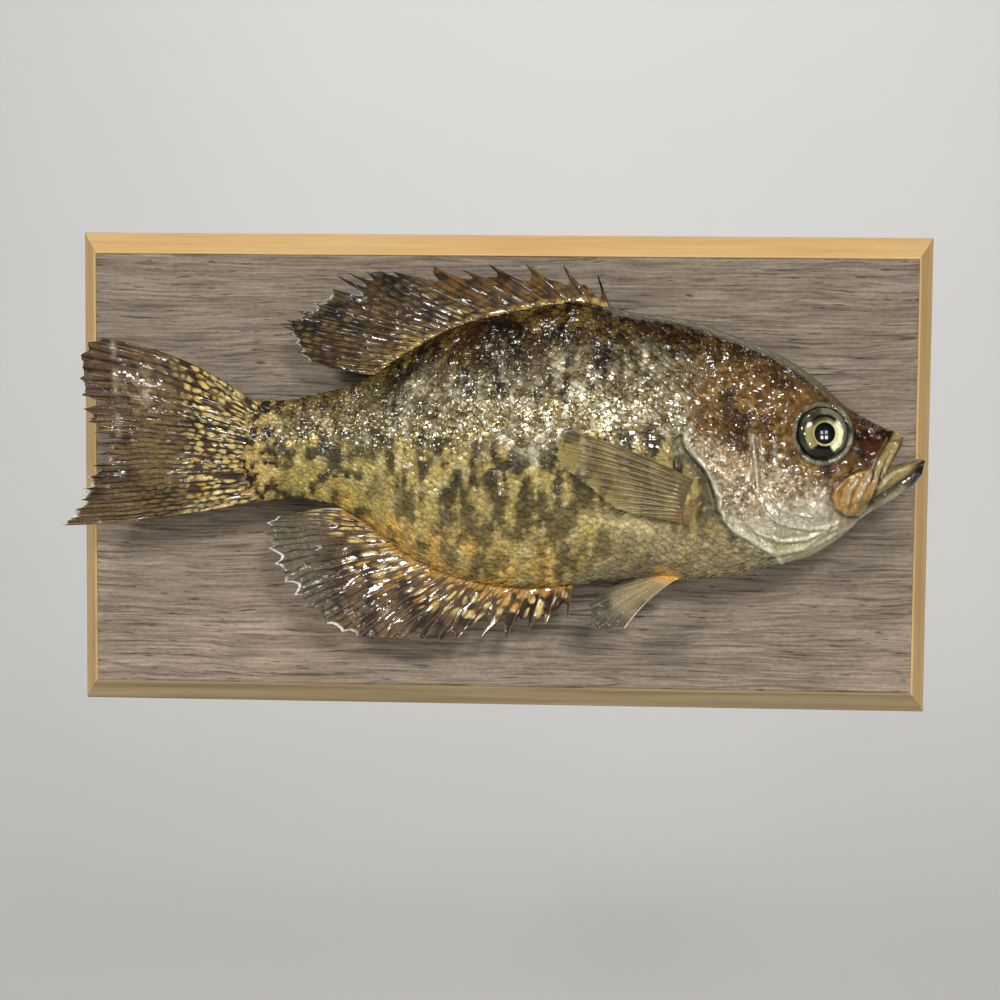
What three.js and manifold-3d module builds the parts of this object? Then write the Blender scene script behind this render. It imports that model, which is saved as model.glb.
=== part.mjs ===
// A mounted black crappie, a life-size fish on a framed wooden wall plaque.
//
// Millimetres. The back face of the plaque lies in the plane Y = 0 and faces the wall at +Y.
// The origin is the centre of that face. The fish hangs on the -Y side, its snout towards +X
// and its back towards +Z, so the side that shows is the fish's right.

import * as THREE from 'three';
import { mergeVertices } from 'three/addons/utils/BufferGeometryUtils.js';
import Module from 'manifold-3d';

const wasm = await Module();
wasm.setup();

// ---------------------------------------------------------------- driving dimensions

const BOARD_WIDTH = 330;
const BOARD_HEIGHT = 184;
const BOARD_THICKNESS = 19;
const SIDE_STRIP_WIDTH = 6.2;
const LONG_STRIP_WIDTH = 8.5;
const BEVEL_DEPTH = 8;

const HANGER_LENGTH = 44; // steel sawtooth hanger let into the back, near the top
const HANGER_HEIGHT = 9;
const HANGER_THICKNESS = 1;
const HANGER_DROP = 24; // from the top edge of the board to the hanger's middle
const HANGER_TEETH = 11;
const NAIL_ROOM = { width: 30, depth: 7.5, height: 17, drop: 4 };

const PART_GAP = 0.3; // between pieces that touch

// The body, from the tail root to the lips: one row for each place where its shape turns.
// x along the fish, height of the back, height of the belly, half width, Y of the middle plane
const TRUNK_ROWS = [
  [-93, 28.2, -10.9, 3.6, -44.2],
  [-80, 28.6, -9.9, 5.4, -42.2],
  [-66, 31.3, -10.9, 7.6, -40.2],
  [-50, 37.0, -19.4, 10.8, -38.6],
  [-34, 47.8, -31.2, 14.6, -37.8],
  [-15, 57.4, -39.2, 18.0, -38.0],
  [8, 63.3, -42.6, 20.6, -39.4],
  [30, 66.4, -40.6, 21.8, -41.4],
  [50, 63.0, -37.7, 21.8, -43.6],
  [70, 60.2, -37.9, 20.6, -45.4],
  [92, 52.6, -34.8, 19.4, -47.4],
  [104, 47.4, -31.0, 17.4, -48.6],
];
const HEAD_ROWS = [
  [58, 61.8, -37.9, 21.4, -44.4],
  [70, 60.2, -37.9, 22.4, -45.4],
  [92, 52.6, -34.8, 21.6, -47.4],
  [106, 46.4, -30.8, 19.6, -48.8],
  [118, 38.4, -27.0, 16.8, -49.8],
  [128, 29.4, -20.2, 14.0, -50.6],
  [136, 24.4, -12.6, 11.6, -51.2],
  [143, 21.0, -8.2, 9.6, -51.6],
  [149, 18.4, -4.4, 7.8, -52.0],
  [154, 11.8, -0.5, 5.8, -52.3],
  [156.8, 9.6, 2.8, 3.9, -52.4],
  [157.8, 8.8, 6.4, 1.6, -52.4],
];
const COLUMN = { x: 0, top: 1, bottom: 2, halfWidth: 3, middle: 4 };
const WIDEST_AT = 0.44; // of the body's depth, up from the belly
const BACK_SHARPNESS = 1.7; // 2 is an ellipse, less is a sharper ridge
const BELLY_SHARPNESS = 1.95;
const FLANK_FULLNESS = 2.15;
const SEGMENTS_AROUND = 26;
const TRUNK_STEP = 8; // between the sections of the body, along X
const HEAD_STEP = 5;

const CONTACT_PLANE = -(BOARD_THICKNESS + PART_GAP); // the far flank lies flat on the panel here
const FREE_PLANE = CONTACT_PLANE - 3.2; // and stands off it from the shoulder forwards
const CONTACT_ENDS = [2, 22]; // x where the one plane goes over into the other

const STALK_CUT = -58;
const GILL_COVER_THICKNESS = 2.2;
const JAW_THICKNESS = 2;
const JAW_PROUD = 0.8;

const EYE_RADIUS = 9.3;
const EYE_AT = new THREE.Vector3(119.5, 0, 18.9);
const EYE_OFF_MIDDLE = 13.4; // from the head's middle plane to the rim of the eye
const EYE_BULGE = 2.4;
const EYE_DEPTH = 5.4;
const EYE_TURN_FORWARD = THREE.MathUtils.degToRad(15);
const EYE_TURN_UP = THREE.MathUtils.degToRad(5);
const EYE_SEGMENTS = 20;
const ORBIT_RIM_RADIUS = 10.4;
const ORBIT_RIM_THICKNESS = 1.2;

// Outlines on the side of the head, as [x, z].
const NAPE_LINE = [
  [70, 75], [73, 50], [77, 28], [84, 15], [88, 0], [90, -12], [95, -20], [101, -24], [106, -32], [107, -45],
];
const GILL_COVER_OUTLINE = [
  [70, 21.1], [68.2, 17.5], [69, 13.6], [71.4, 10.5], [76.1, 5.8], [78.7, 1.4], [80.6, -4.5], [83.7, -13.6],
  [87, -17.3], [95.5, -22.3], [103.4, -27.6], [106, -38], [124, -30], [134.4, -17], [130, -13.6],
  [124.5, -14.6], [115.4, -16.4], [108.1, -15.4], [98.9, -11.1], [96.3, -5.7], [94.6, 10], [90, 22],
  [82, 25], [75, 24],
];
const UPPER_JAW_OUTLINE = [
  [151.5, 20], [149.6, 15.6], [145.6, 9], [141.9, 2.6], [139.9, 0.4], [136.6, -7.7], [133.6, -11.2],
  [128.3, -11.2], [124.3, -8.3], [122.7, -4.1], [123.9, -1.1], [127.2, 2.3], [132.1, 4.9], [137.6, 6.2],
  [140.2, 11.4], [146.4, 21.5],
];
const LOWER_JAW_OUTLINE = [
  [140.3, 0.2], [145.7, 5.5], [152, 7.7], [156.4, 9.2], [161, 9.2], [161, 0], [148, -12], [137.6, -15.6],
  [135.4, -12.2], [137.4, -7],
];
const GAPE_OUTLINE = [
  [140.1, 0.3], [145.7, 5.5], [152, 7.7], [156.4, 9.2], [170, 9.6], [170, 24], [151.5, 20], [149.6, 15.6],
  [145.6, 9], [141.9, 2.6],
];
const MOUTH_HOLLOW_OUTLINE = [[138, -3.4], [146, -0.6], [154.6, 5.6], [154, 16], [145.6, 16], [138, 3.4]];

// ---------------------------------------------------------------- fins, each with its rays

const DORSAL_SPINE_FEET = [38.2, 32, 25.3, 18.6, 11.4, 3.8, -4];
const DORSAL_SPINE_TIPS = [
  [36.4, 76.8], [23.4, 79.9], [9.2, 80.5], [-4.6, 80], [-15.1, 78.2], [-25.2, 79.1], [-41.4, 77.2],
];
const DORSAL_SOFT = { rays: 15, firstFoot: -10.5, lastFoot: -47.6 };
const DORSAL_SOFT_MARGIN = [
  [-45.5, 77.4], [-55, 76.6], [-62.4, 75.2], [-65.6, 67.2], [-71.5, 64.6], [-79.8, 59], [-82.1, 55.4],
  [-77.4, 50.6], [-75.3, 45], [-65, 41.2],
];
const ANAL_SPINE_FEET = [28.4, 22.6, 16.8, 11, 5, -1];
const ANAL_SPINE_TIPS = [
  [26.8, -52.1], [18.2, -54.8], [12, -57.4], [3.2, -61.6], [-6.3, -60.8], [-15.4, -61.2],
];
const ANAL_SOFT = { rays: 17, firstFoot: -6.6, lastFoot: -60.4 };
const ANAL_SOFT_MARGIN = [
  [-20.7, -61.6], [-34, -61.4], [-47, -61.8], [-55.2, -60], [-63.6, -56.6], [-73.5, -48.2], [-79.4, -41.6],
  [-84.4, -32], [-87, -24], [-86.6, -17.2], [-80.4, -14.6], [-74.8, -14],
];
const TAIL_FEET = { x: -93.5, top: 27.2, bottom: -9.9 };
const TAIL_RAYS = 17;
const TAIL_MARGIN = [
  [-149.6, 51.3], [-156.6, 47.4], [-157, 34.5], [-156.4, 25.6], [-153.4, 18], [-149, 11.8], [-151.6, 5],
  [-155.2, -2], [-158, -9], [-161.6, -15], [-164.4, -19.4],
];
const TAIL_BOW = { top: 4.6, bottom: -2.2 };
const PECTORAL_FEET = [[73.4, 0.9], [67.2, -14.2]];
const PECTORAL_RAYS = 13;
const PECTORAL_MARGIN = [
  [25.4, 19.8], [22, 15.4], [21.2, 10.4], [24.6, 5.8], [31.2, 0.2], [38.6, -4.6], [44, -9.2], [52, -11.2],
  [59, -12.6],
];
const PELVIC_FEET = [[68.4, -37.4], [61.6, -35.4]];
const PELVIC_RAYS = 7;
const PELVIC_MARGIN = [
  [48.2, -54.6], [43.4, -54.4], [38.4, -56], [35, -54], [34.6, -46], [39.4, -40.8], [47.6, -36.8],
];

const FIN = { rayHalf: 0.62, tipHalf: 0.34, webHalf: 0.3, rows: 3 };
const DORSAL_FLARE = -4; // Y of the fin's margin less that of its foot
const ANAL_FLARE = -9.6;
const TAIL_FLARE = -10;
const PECTORAL_LIFT = 3.4;
const PELVIC_FLARE = 7;
const LEFT_FIN_SCALE = 0.72; // the fins next to the panel lie folded
const LEFT_FIN_ROWS = 2;

const COLOURS = {
  panel: 0x82786c, strip: 0xc39a5e, steel: 0x9a9a98, back: 0x3e301b, head: 0x6b4a22, cover: 0x8b7d58,
  flank: 0x7d7046, jaw: 0xa8762f, tail: 0x5a4526, fin: 0x4d3b22, softFin: 0x8f7b4d, eye: 0xc9bd7a,
};

// ---------------------------------------------------------------- meshes and solids

function toSolid(geometry) {
  const bare = geometry.clone();
  bare.deleteAttribute('normal');
  bare.deleteAttribute('uv');
  const merged = mergeVertices(bare, 1e-4);
  const mesh = new wasm.Mesh({
    numProp: 3,
    vertProperties: new Float32Array(merged.attributes.position.array),
    triVerts: new Uint32Array(merged.index.array),
  });
  return new wasm.Manifold(mesh);
}

function toGeometry(solid) {
  const mesh = solid.getMesh();
  const geometry = new THREE.BufferGeometry();
  geometry.setAttribute('position', new THREE.BufferAttribute(new Float32Array(mesh.vertProperties), 3));
  geometry.setIndex(new THREE.BufferAttribute(new Uint32Array(mesh.triVerts), 1));
  geometry.computeVertexNormals();
  return geometry;
}

// The largest closed body of a solid, without the slivers that a cut may leave.
function mainPiece(solid) {
  const pieces = solid.decompose();
  return pieces.reduce((best, piece) => (piece.volume() > best.volume() ? piece : best));
}

// A geometry from points and triangles, turned so that its faces point out.
function closedGeometry(points, triangles) {
  let volume = 0;
  for (const [a, b, c] of triangles) {
    volume += points[a].dot(new THREE.Vector3().crossVectors(points[b], points[c]));
  }
  const turned = volume < 0 ? triangles.map(([a, b, c]) => [a, c, b]) : triangles;
  const geometry = new THREE.BufferGeometry().setFromPoints(points);
  geometry.setIndex(turned.flat());
  geometry.computeVertexNormals();
  return geometry;
}

// A prism with an outline in X and Z, reaching from one Y to another.
function prism(outline, nearY = -120, farY = 0) {
  const shape = new THREE.Shape(outline.map(([x, z]) => new THREE.Vector2(x, z)));
  const geometry = new THREE.ExtrudeGeometry(shape, { depth: farY - nearY, bevelEnabled: false });
  geometry.rotateX(Math.PI / 2);
  geometry.translate(0, farY, 0);
  return toSolid(geometry);
}

// The outline moved outwards by a distance, or inwards where that is negative.
function grown(outline, distance) {
  const points = outline.map(([x, z]) => new THREE.Vector2(x, z));
  const side = THREE.ShapeUtils.area(points) > 0 ? 1 : -1;
  return points.map((point, i) => {
    const before = points[(i + points.length - 1) % points.length];
    const after = points[(i + 1) % points.length];
    const arriving = point.clone().sub(before).normalize();
    const leaving = after.clone().sub(point).normalize();
    const outwards = new THREE.Vector2(arriving.y + leaving.y, -arriving.x - leaving.x).normalize();
    const spread = Math.max(outwards.dot(new THREE.Vector2(arriving.y, -arriving.x)), 0.5);
    const moved = point.clone().addScaledVector(outwards, (side * distance) / spread);
    return [moved.x, moved.y];
  });
}

// ---------------------------------------------------------------- the body's shape

// A smooth value between the rows of a table, at x.
function valueAt(rows, x, column) {
  const last = rows.length - 1;
  let i = 0;
  while (i < last - 1 && x > rows[i + 1][COLUMN.x]) {
    i += 1;
  }
  const slopeAt = (k) => {
    const before = rows[Math.max(k - 1, 0)];
    const after = rows[Math.min(k + 1, last)];
    return (after[column] - before[column]) / (after[COLUMN.x] - before[COLUMN.x]);
  };
  const start = rows[i];
  const end = rows[i + 1];
  const span = end[COLUMN.x] - start[COLUMN.x];
  const t = THREE.MathUtils.clamp((x - start[COLUMN.x]) / span, 0, 1);
  const curved = (2 * t ** 3 - 3 * t ** 2 + 1) * start[column] + (3 * t ** 2 - 2 * t ** 3) * end[column];
  const leaned = (t ** 3 - 2 * t ** 2 + t) * span * slopeAt(i) + (t ** 3 - t ** 2) * span * slopeAt(i + 1);
  return curved + leaned;
}

function farthestY(x) {
  const [start, end] = CONTACT_ENDS;
  return THREE.MathUtils.lerp(CONTACT_PLANE, FREE_PLANE, THREE.MathUtils.smoothstep(x, start, end));
}

// The section of the body at x, with its skin moved out by grow.
function sectionAt(rows, x, grow = 0) {
  const top = valueAt(rows, x, COLUMN.top) + grow;
  const bottom = valueAt(rows, x, COLUMN.bottom) - grow;
  const widest = bottom + WIDEST_AT * (top - bottom);
  return {
    top,
    bottom,
    widest,
    halfWidth: Math.max(valueAt(rows, x, COLUMN.halfWidth) + grow, 0.4),
    middle: valueAt(rows, x, COLUMN.middle),
  };
}

const rounded = (value, sharpness) => Math.sign(value) * Math.abs(value) ** (2 / sharpness);

function sectionPoint(rows, x, angle, grow) {
  const section = sectionAt(rows, x, grow);
  const upper = Math.sin(angle) > 0;
  const height = upper ? section.top - section.widest : section.widest - section.bottom;
  const sharpness = upper ? BACK_SHARPNESS : BELLY_SHARPNESS;
  const y = section.middle - section.halfWidth * rounded(Math.cos(angle), FLANK_FULLNESS);
  const z = section.widest + height * rounded(Math.sin(angle), sharpness);
  return new THREE.Vector3(x, Math.min(y, farthestY(x)), z);
}

// Y of the right flank at x and z.
function flankY(x, z) {
  const section = sectionAt(TRUNK_ROWS, x);
  const upper = z > section.widest;
  const height = upper ? section.top - section.widest : section.widest - section.bottom;
  const share = Math.min(Math.abs(z - section.widest) / height, 1);
  const sharpness = upper ? BACK_SHARPNESS : BELLY_SHARPNESS;
  return section.middle - section.halfWidth * (1 - share ** sharpness) ** (1 / FLANK_FULLNESS);
}

const backAt = (x) => valueAt(TRUNK_ROWS, x, COLUMN.top);
const bellyAt = (x) => valueAt(TRUNK_ROWS, x, COLUMN.bottom);
const middleAt = (x) => valueAt(TRUNK_ROWS, x, COLUMN.middle);

// A closed loft through sections from one x to another, with its end faces flat.
function loft(rows, fromX, toX, step, grow = 0) {
  const rings = Math.round((toX - fromX) / step);
  const points = [];
  const triangles = [];
  for (let i = 0; i <= rings; i += 1) {
    const x = THREE.MathUtils.lerp(fromX, toX, i / rings);
    for (let j = 0; j < SEGMENTS_AROUND; j += 1) {
      points.push(sectionPoint(rows, x, (2 * Math.PI * j) / SEGMENTS_AROUND, grow));
    }
  }
  for (let i = 0; i < rings; i += 1) {
    for (let j = 0; j < SEGMENTS_AROUND; j += 1) {
      const next = (j + 1) % SEGMENTS_AROUND;
      const here = i * SEGMENTS_AROUND;
      const ahead = here + SEGMENTS_AROUND;
      triangles.push([here + j, ahead + j, here + next], [here + next, ahead + j, ahead + next]);
    }
  }
  const endRing = rings * SEGMENTS_AROUND;
  for (let j = 1; j < SEGMENTS_AROUND - 1; j += 1) {
    triangles.push([0, j, j + 1], [endRing, endRing + j + 1, endRing + j]);
  }
  return toSolid(closedGeometry(points, triangles));
}

// ---------------------------------------------------------------- the flesh, parted by thin cuts

function trunkAndStalk() {
  const whole = loft(TRUNK_ROWS, -93, 104, TRUNK_STEP);
  const behindHead = [[-110, -60], [-110, 90], ...NAPE_LINE.map(([x, z]) => [x - PART_GAP, z])];
  const body = whole.intersect(prism(behindHead)).subtract(gillCoverSpace());
  const cutStart = [[-120, -60], [-120, 90], [STALK_CUT, 90], [STALK_CUT, -60]];
  const cutEnd = cutStart.map(([x, z]) => [x === STALK_CUT ? x + PART_GAP : x, z]);
  return {
    stalk: mainPiece(body.intersect(prism(cutStart))),
    trunk: mainPiece(body.subtract(prism(cutEnd))),
  };
}

const headLoft = (grow = 0) => loft(HEAD_ROWS, 58, 157.8, HEAD_STEP, grow);
const headCore = (depth) => loft(HEAD_ROWS, 57, 154, HEAD_STEP + 2, -depth);

function gillCoverSpace() {
  return prism(grown(GILL_COVER_OUTLINE, PART_GAP)).subtract(headCore(GILL_COVER_THICKNESS + PART_GAP));
}

function upperJawSpace() {
  return prism(grown(UPPER_JAW_OUTLINE, PART_GAP)).subtract(headCore(JAW_THICKNESS + PART_GAP));
}

// A thin upright wall along the middle plane of the head.
function middleWall(thickness) {
  const outline = [];
  for (const side of [-1, 1]) {
    const along = [60, 80, 100, 120, 140, 165];
    const stretch = side < 0 ? along : along.reverse();
    for (const x of stretch) {
      outline.push(new THREE.Vector2(x, valueAt(HEAD_ROWS, x, COLUMN.middle) + (side * thickness) / 2));
    }
  }
  const geometry = new THREE.ExtrudeGeometry(new THREE.Shape(outline), { depth: 160, bevelEnabled: false });
  geometry.translate(0, 0, -80);
  return toSolid(geometry);
}

function gillCovers() {
  const both = headLoft()
    .intersect(prism(GILL_COVER_OUTLINE))
    .subtract(headCore(GILL_COVER_THICKNESS))
    .subtract(middleWall(PART_GAP * 2));
  const sides = both.decompose().sort((a, b) => b.volume() - a.volume()).slice(0, 2);
  const middleOf = (solid) => (solid.boundingBox().min[1] + solid.boundingBox().max[1]) / 2;
  sides.sort((a, b) => middleOf(a) - middleOf(b));
  return { right: sides[0], left: sides[1] };
}

function mouthHollow() {
  return headCore(JAW_THICKNESS).intersect(prism(MOUTH_HOLLOW_OUTLINE));
}

function upperJaw() {
  const skin = headLoft(JAW_PROUD).intersect(prism(UPPER_JAW_OUTLINE));
  return mainPiece(skin.subtract(headCore(JAW_THICKNESS)).subtract(mouthHollow()));
}

function lowerJaw() {
  const block = headLoft().intersect(prism(LOWER_JAW_OUTLINE));
  return mainPiece(block.subtract(upperJawSpace()).subtract(mouthHollow()));
}

// Turns a shape made along +Z so that its axis leaves the head at the eye, on side -1 (right) or 1 (left).
function placeAtEye(geometry, side) {
  const middle = valueAt(HEAD_ROWS, EYE_AT.x, COLUMN.middle);
  const forward = Math.sin(EYE_TURN_FORWARD);
  const sideways = side * Math.cos(EYE_TURN_FORWARD);
  const axis = new THREE.Vector3(forward, sideways, Math.sin(EYE_TURN_UP)).normalize();
  geometry.applyQuaternion(new THREE.Quaternion().setFromUnitVectors(new THREE.Vector3(0, 0, 1), axis));
  geometry.translate(EYE_AT.x, middle + side * EYE_OFF_MIDDLE, EYE_AT.z);
  return geometry;
}

function eyeball(side) {
  const steps = 4;
  const profile = [new THREE.Vector2(0, -EYE_DEPTH), new THREE.Vector2(EYE_RADIUS * 0.55, 0.8 - EYE_DEPTH)];
  profile.push(new THREE.Vector2(EYE_RADIUS, -1.2), new THREE.Vector2(EYE_RADIUS, 0));
  for (let i = 1; i <= steps; i += 1) {
    const angle = (i / steps) * (Math.PI / 2);
    const out = i === steps ? 0 : EYE_RADIUS * Math.cos(angle);
    profile.push(new THREE.Vector2(out, EYE_BULGE * Math.sin(angle)));
  }
  const geometry = new THREE.LatheGeometry(profile, EYE_SEGMENTS);
  geometry.rotateX(Math.PI / 2);
  return placeAtEye(geometry, side);
}

function eyeSocket(side) {
  const radius = EYE_RADIUS + PART_GAP;
  const length = 16;
  const geometry = new THREE.CylinderGeometry(radius, radius, length, EYE_SEGMENTS);
  geometry.rotateX(Math.PI / 2);
  geometry.translate(0, 0, length / 2 - EYE_DEPTH - PART_GAP);
  return toSolid(placeAtEye(geometry, side));
}

function orbitRim(side) {
  const profile = [];
  const sides = 6;
  for (let i = 0; i <= sides; i += 1) {
    const angle = (i / sides) * 2 * Math.PI;
    const out = ORBIT_RIM_RADIUS + ORBIT_RIM_THICKNESS * Math.cos(angle);
    profile.push(new THREE.Vector2(out, ORBIT_RIM_THICKNESS * (Math.sin(angle) - 0.4)));
  }
  const geometry = new THREE.LatheGeometry(profile, EYE_SEGMENTS);
  geometry.rotateX(Math.PI / 2);
  return toSolid(placeAtEye(geometry, side));
}

function head() {
  const inFront = [[190, -45], ...[...NAPE_LINE].reverse(), [190, 75]];
  let solid = headLoft().intersect(prism(inFront));
  for (const side of [-1, 1]) {
    solid = solid.add(orbitRim(side));
  }
  solid = solid.subtract(gillCoverSpace()).subtract(upperJawSpace());
  solid = solid.subtract(prism(grown(LOWER_JAW_OUTLINE, PART_GAP))).subtract(prism(GAPE_OUTLINE));
  solid = solid.subtract(mouthHollow());
  for (const side of [-1, 1]) {
    solid = solid.subtract(eyeSocket(side));
  }
  return mainPiece(solid);
}

// ---------------------------------------------------------------- fins

// A share of a finely ragged edge, the same for the same ray each time.
const ragged = (index, amount) => amount * (0.5 + 0.5 * Math.sin(index * 12.9898 + 4.1));

function softRays(soft, marginPoints, footAt) {
  const margin = new THREE.SplineCurve(marginPoints.map(([x, z]) => new THREE.Vector2(x, z)));
  const rays = [];
  for (let i = 0; i < soft.rays; i += 1) {
    const t = i / (soft.rays - 1);
    const tip = margin.getPoint(t);
    const footX = THREE.MathUtils.lerp(soft.firstFoot, soft.lastFoot, t);
    rays.push({ foot: footAt(footX), tip: [tip.x, tip.y] });
  }
  return rays;
}

// A closed fin: a column of points up each ray, and one up the web between two rays.
// rays are {foot: [x, z], tip: [x, z], bow, notch}; yAt(x, z, t) gives the fin's middle surface.
function finGeometry(rays, yAt, thickness = FIN) {
  const columns = [];
  rays.forEach((ray, i) => {
    columns.push({ ...ray, half: thickness.rayHalf, endHalf: thickness.tipHalf });
    const next = rays[i + 1];
    if (next) {
      const between = (a, b) => [(a[0] + b[0]) / 2, (a[1] + b[1]) / 2];
      const foot = between(ray.foot, next.foot);
      const end = between(ray.tip, next.tip);
      const reach = 1 - (ray.notch ?? 0.06);
      const tip = [foot[0] + (end[0] - foot[0]) * reach, foot[1] + (end[1] - foot[1]) * reach];
      const bow = ((ray.bow ?? 0) + (next.bow ?? 0)) / 2;
      columns.push({ foot, tip, bow, half: thickness.webHalf, endHalf: thickness.webHalf });
    }
  });
  const rows = thickness.rows;
  const points = [];
  for (const column of columns) {
    const foot = new THREE.Vector2(...column.foot);
    const along = new THREE.Vector2(...column.tip).sub(foot);
    const across = new THREE.Vector2(-along.y, along.x).normalize();
    for (let r = 0; r <= rows; r += 1) {
      const t = r / rows;
      const place = foot.clone().addScaledVector(along, t);
      place.addScaledVector(across, (column.bow ?? 0) * 4 * t * (1 - t));
      const half = THREE.MathUtils.lerp(column.half, column.endHalf, t);
      const y = yAt(place.x, place.y, t);
      points.push(new THREE.Vector3(place.x, y - half, place.y));
      points.push(new THREE.Vector3(place.x, y + half, place.y));
    }
  }
  const at = (c, r, side) => (c * (rows + 1) + r) * 2 + side;
  const triangles = [];
  const quad = (a, b, c, d) => triangles.push([a, b, c], [a, c, d]);
  const last = columns.length - 1;
  for (let c = 0; c < last; c += 1) {
    for (let r = 0; r < rows; r += 1) {
      quad(at(c, r, 0), at(c + 1, r, 0), at(c + 1, r + 1, 0), at(c, r + 1, 0));
      quad(at(c, r, 1), at(c, r + 1, 1), at(c + 1, r + 1, 1), at(c + 1, r, 1));
    }
    quad(at(c, 0, 1), at(c + 1, 0, 1), at(c + 1, 0, 0), at(c, 0, 0));
    quad(at(c, rows, 0), at(c + 1, rows, 0), at(c + 1, rows, 1), at(c, rows, 1));
  }
  for (let r = 0; r < rows; r += 1) {
    quad(at(0, r, 0), at(0, r + 1, 0), at(0, r + 1, 1), at(0, r, 1));
    quad(at(last, r, 1), at(last, r + 1, 1), at(last, r + 1, 0), at(last, r, 0));
  }
  return toGeometry(toSolid(closedGeometry(points, triangles)));
}

const FOOT_CLEARANCE = PART_GAP + 0.15;

function dorsalFin() {
  const footAt = (x) => [x, backAt(x) + FOOT_CLEARANCE];
  const spineAt = (x, i) => ({ foot: footAt(x), tip: DORSAL_SPINE_TIPS[i], notch: 0.34 });
  const spines = DORSAL_SPINE_FEET.map(spineAt);
  spines[spines.length - 1].notch = 0.08;
  const soft = softRays(DORSAL_SOFT, DORSAL_SOFT_MARGIN, footAt);
  soft.forEach((ray, i) => {
    ray.bow = 0.8;
    ray.notch = 0.03 + ragged(i, 0.12);
  });
  return finGeometry([...spines, ...soft], (x, z, t) => middleAt(x) + DORSAL_FLARE * t * t);
}

function analFin() {
  const footAt = (x) => [x, bellyAt(x) - FOOT_CLEARANCE];
  const spineAt = (x, i) => ({ foot: footAt(x), tip: ANAL_SPINE_TIPS[i], notch: 0.3 });
  const spines = ANAL_SPINE_FEET.map(spineAt);
  spines[spines.length - 1].notch = 0.1;
  const soft = softRays(ANAL_SOFT, ANAL_SOFT_MARGIN, footAt);
  soft.forEach((ray, i) => {
    ray.bow = -1;
    ray.notch = 0.02 + ragged(i, 0.07);
  });
  return finGeometry([...spines, ...soft], (x, z, t) => middleAt(x) + ANAL_FLARE * t);
}

function tailFin() {
  const margin = new THREE.SplineCurve(TAIL_MARGIN.map(([x, z]) => new THREE.Vector2(x, z)));
  const rays = [];
  for (let i = 0; i < TAIL_RAYS; i += 1) {
    const t = i / (TAIL_RAYS - 1);
    const tip = margin.getPoint(t);
    rays.push({
      foot: [TAIL_FEET.x, THREE.MathUtils.lerp(TAIL_FEET.top, TAIL_FEET.bottom, t)],
      tip: [tip.x, tip.y],
      bow: -THREE.MathUtils.lerp(TAIL_BOW.top, TAIL_BOW.bottom, t),
      notch: 0.02 + ragged(i, 0.07),
    });
  }
  return finGeometry(rays, (x, z, t) => middleAt(TAIL_FEET.x) + TAIL_FLARE * t);
}

function pairedRays(feet, marginPoints, count, scale = 1) {
  const margin = new THREE.SplineCurve(marginPoints.map(([x, z]) => new THREE.Vector2(x, z)));
  const rays = [];
  for (let i = 0; i < count; i += 1) {
    const t = i / (count - 1);
    const foot = feet[0].map((value, k) => THREE.MathUtils.lerp(value, feet[1][k], t));
    const tip = margin.getPoint(t);
    rays.push({
      foot,
      tip: [foot[0] + (tip.x - foot[0]) * scale, foot[1] + (tip.y - foot[1]) * scale],
      bow: -1.6 * (1 - t),
      notch: 0.02,
    });
  }
  return rays;
}

function pectoralFin(side) {
  const right = side < 0;
  const scale = right ? 1 : LEFT_FIN_SCALE * 0.66;
  const rays = pairedRays(PECTORAL_FEET, PECTORAL_MARGIN, PECTORAL_RAYS, scale);
  const onRight = (x, z, t) => flankY(x, z) - 1.1 - PECTORAL_LIFT * t;
  const onLeft = () => (CONTACT_PLANE + FREE_PLANE) / 2 + 0.4;
  const rows = right ? FIN.rows : LEFT_FIN_ROWS;
  return finGeometry(rays, right ? onRight : onLeft, { ...FIN, rows, rayHalf: 0.45 });
}

function pelvicFin(side) {
  const right = side < 0;
  const rays = pairedRays(PELVIC_FEET, PELVIC_MARGIN, PELVIC_RAYS, right ? 1 : LEFT_FIN_SCALE);
  const start = right ? 11.4 : 11.8;
  const flare = PELVIC_FLARE * (right ? 0.7 : 0.3);
  return finGeometry(rays, (x, z, t) => middleAt(x) + side * (start + flare * t));
}

// ---------------------------------------------------------------- the plaque

// A strip's section runs from the panel's edge outwards; its front slopes back over the bevel.
// The ends are mitred, so the strip's length falls by its width at each end.
function strip(length, width, endInset) {
  const outer = length / 2;
  const inner = outer - endInset;
  const front = -BOARD_THICKNESS;
  const points = [];
  for (const end of [-1, 1]) {
    points.push(
      new THREE.Vector3(end * inner, 0, 0),
      new THREE.Vector3(end * inner, front, 0),
      new THREE.Vector3(end * outer, front + BEVEL_DEPTH, width),
      new THREE.Vector3(end * outer, 0, width),
    );
  }
  const triangles = [[0, 1, 2], [0, 2, 3], [4, 6, 5], [4, 7, 6]];
  for (let i = 0; i < 4; i += 1) {
    const next = (i + 1) % 4;
    triangles.push([i, i + 4, next + 4], [i, next + 4, next]);
  }
  return closedGeometry(points, triangles);
}

function frameStrips() {
  const longWidth = LONG_STRIP_WIDTH - PART_GAP;
  const sideWidth = SIDE_STRIP_WIDTH - PART_GAP;
  const miterGap = PART_GAP * 2;
  const longStrip = () => strip(BOARD_WIDTH - miterGap, longWidth, SIDE_STRIP_WIDTH);
  const sideStrip = () => strip(BOARD_HEIGHT - miterGap, sideWidth, LONG_STRIP_WIDTH);
  const top = longStrip().translate(0, 0, BOARD_HEIGHT / 2 - longWidth);
  const bottom = longStrip().rotateY(Math.PI).translate(0, 0, -BOARD_HEIGHT / 2 + longWidth);
  const right = sideStrip().rotateY(Math.PI / 2).translate(BOARD_WIDTH / 2 - sideWidth, 0, 0);
  const left = sideStrip().rotateY(-Math.PI / 2).translate(-BOARD_WIDTH / 2 + sideWidth, 0, 0);
  return { top, bottom, left, right };
}

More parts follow.
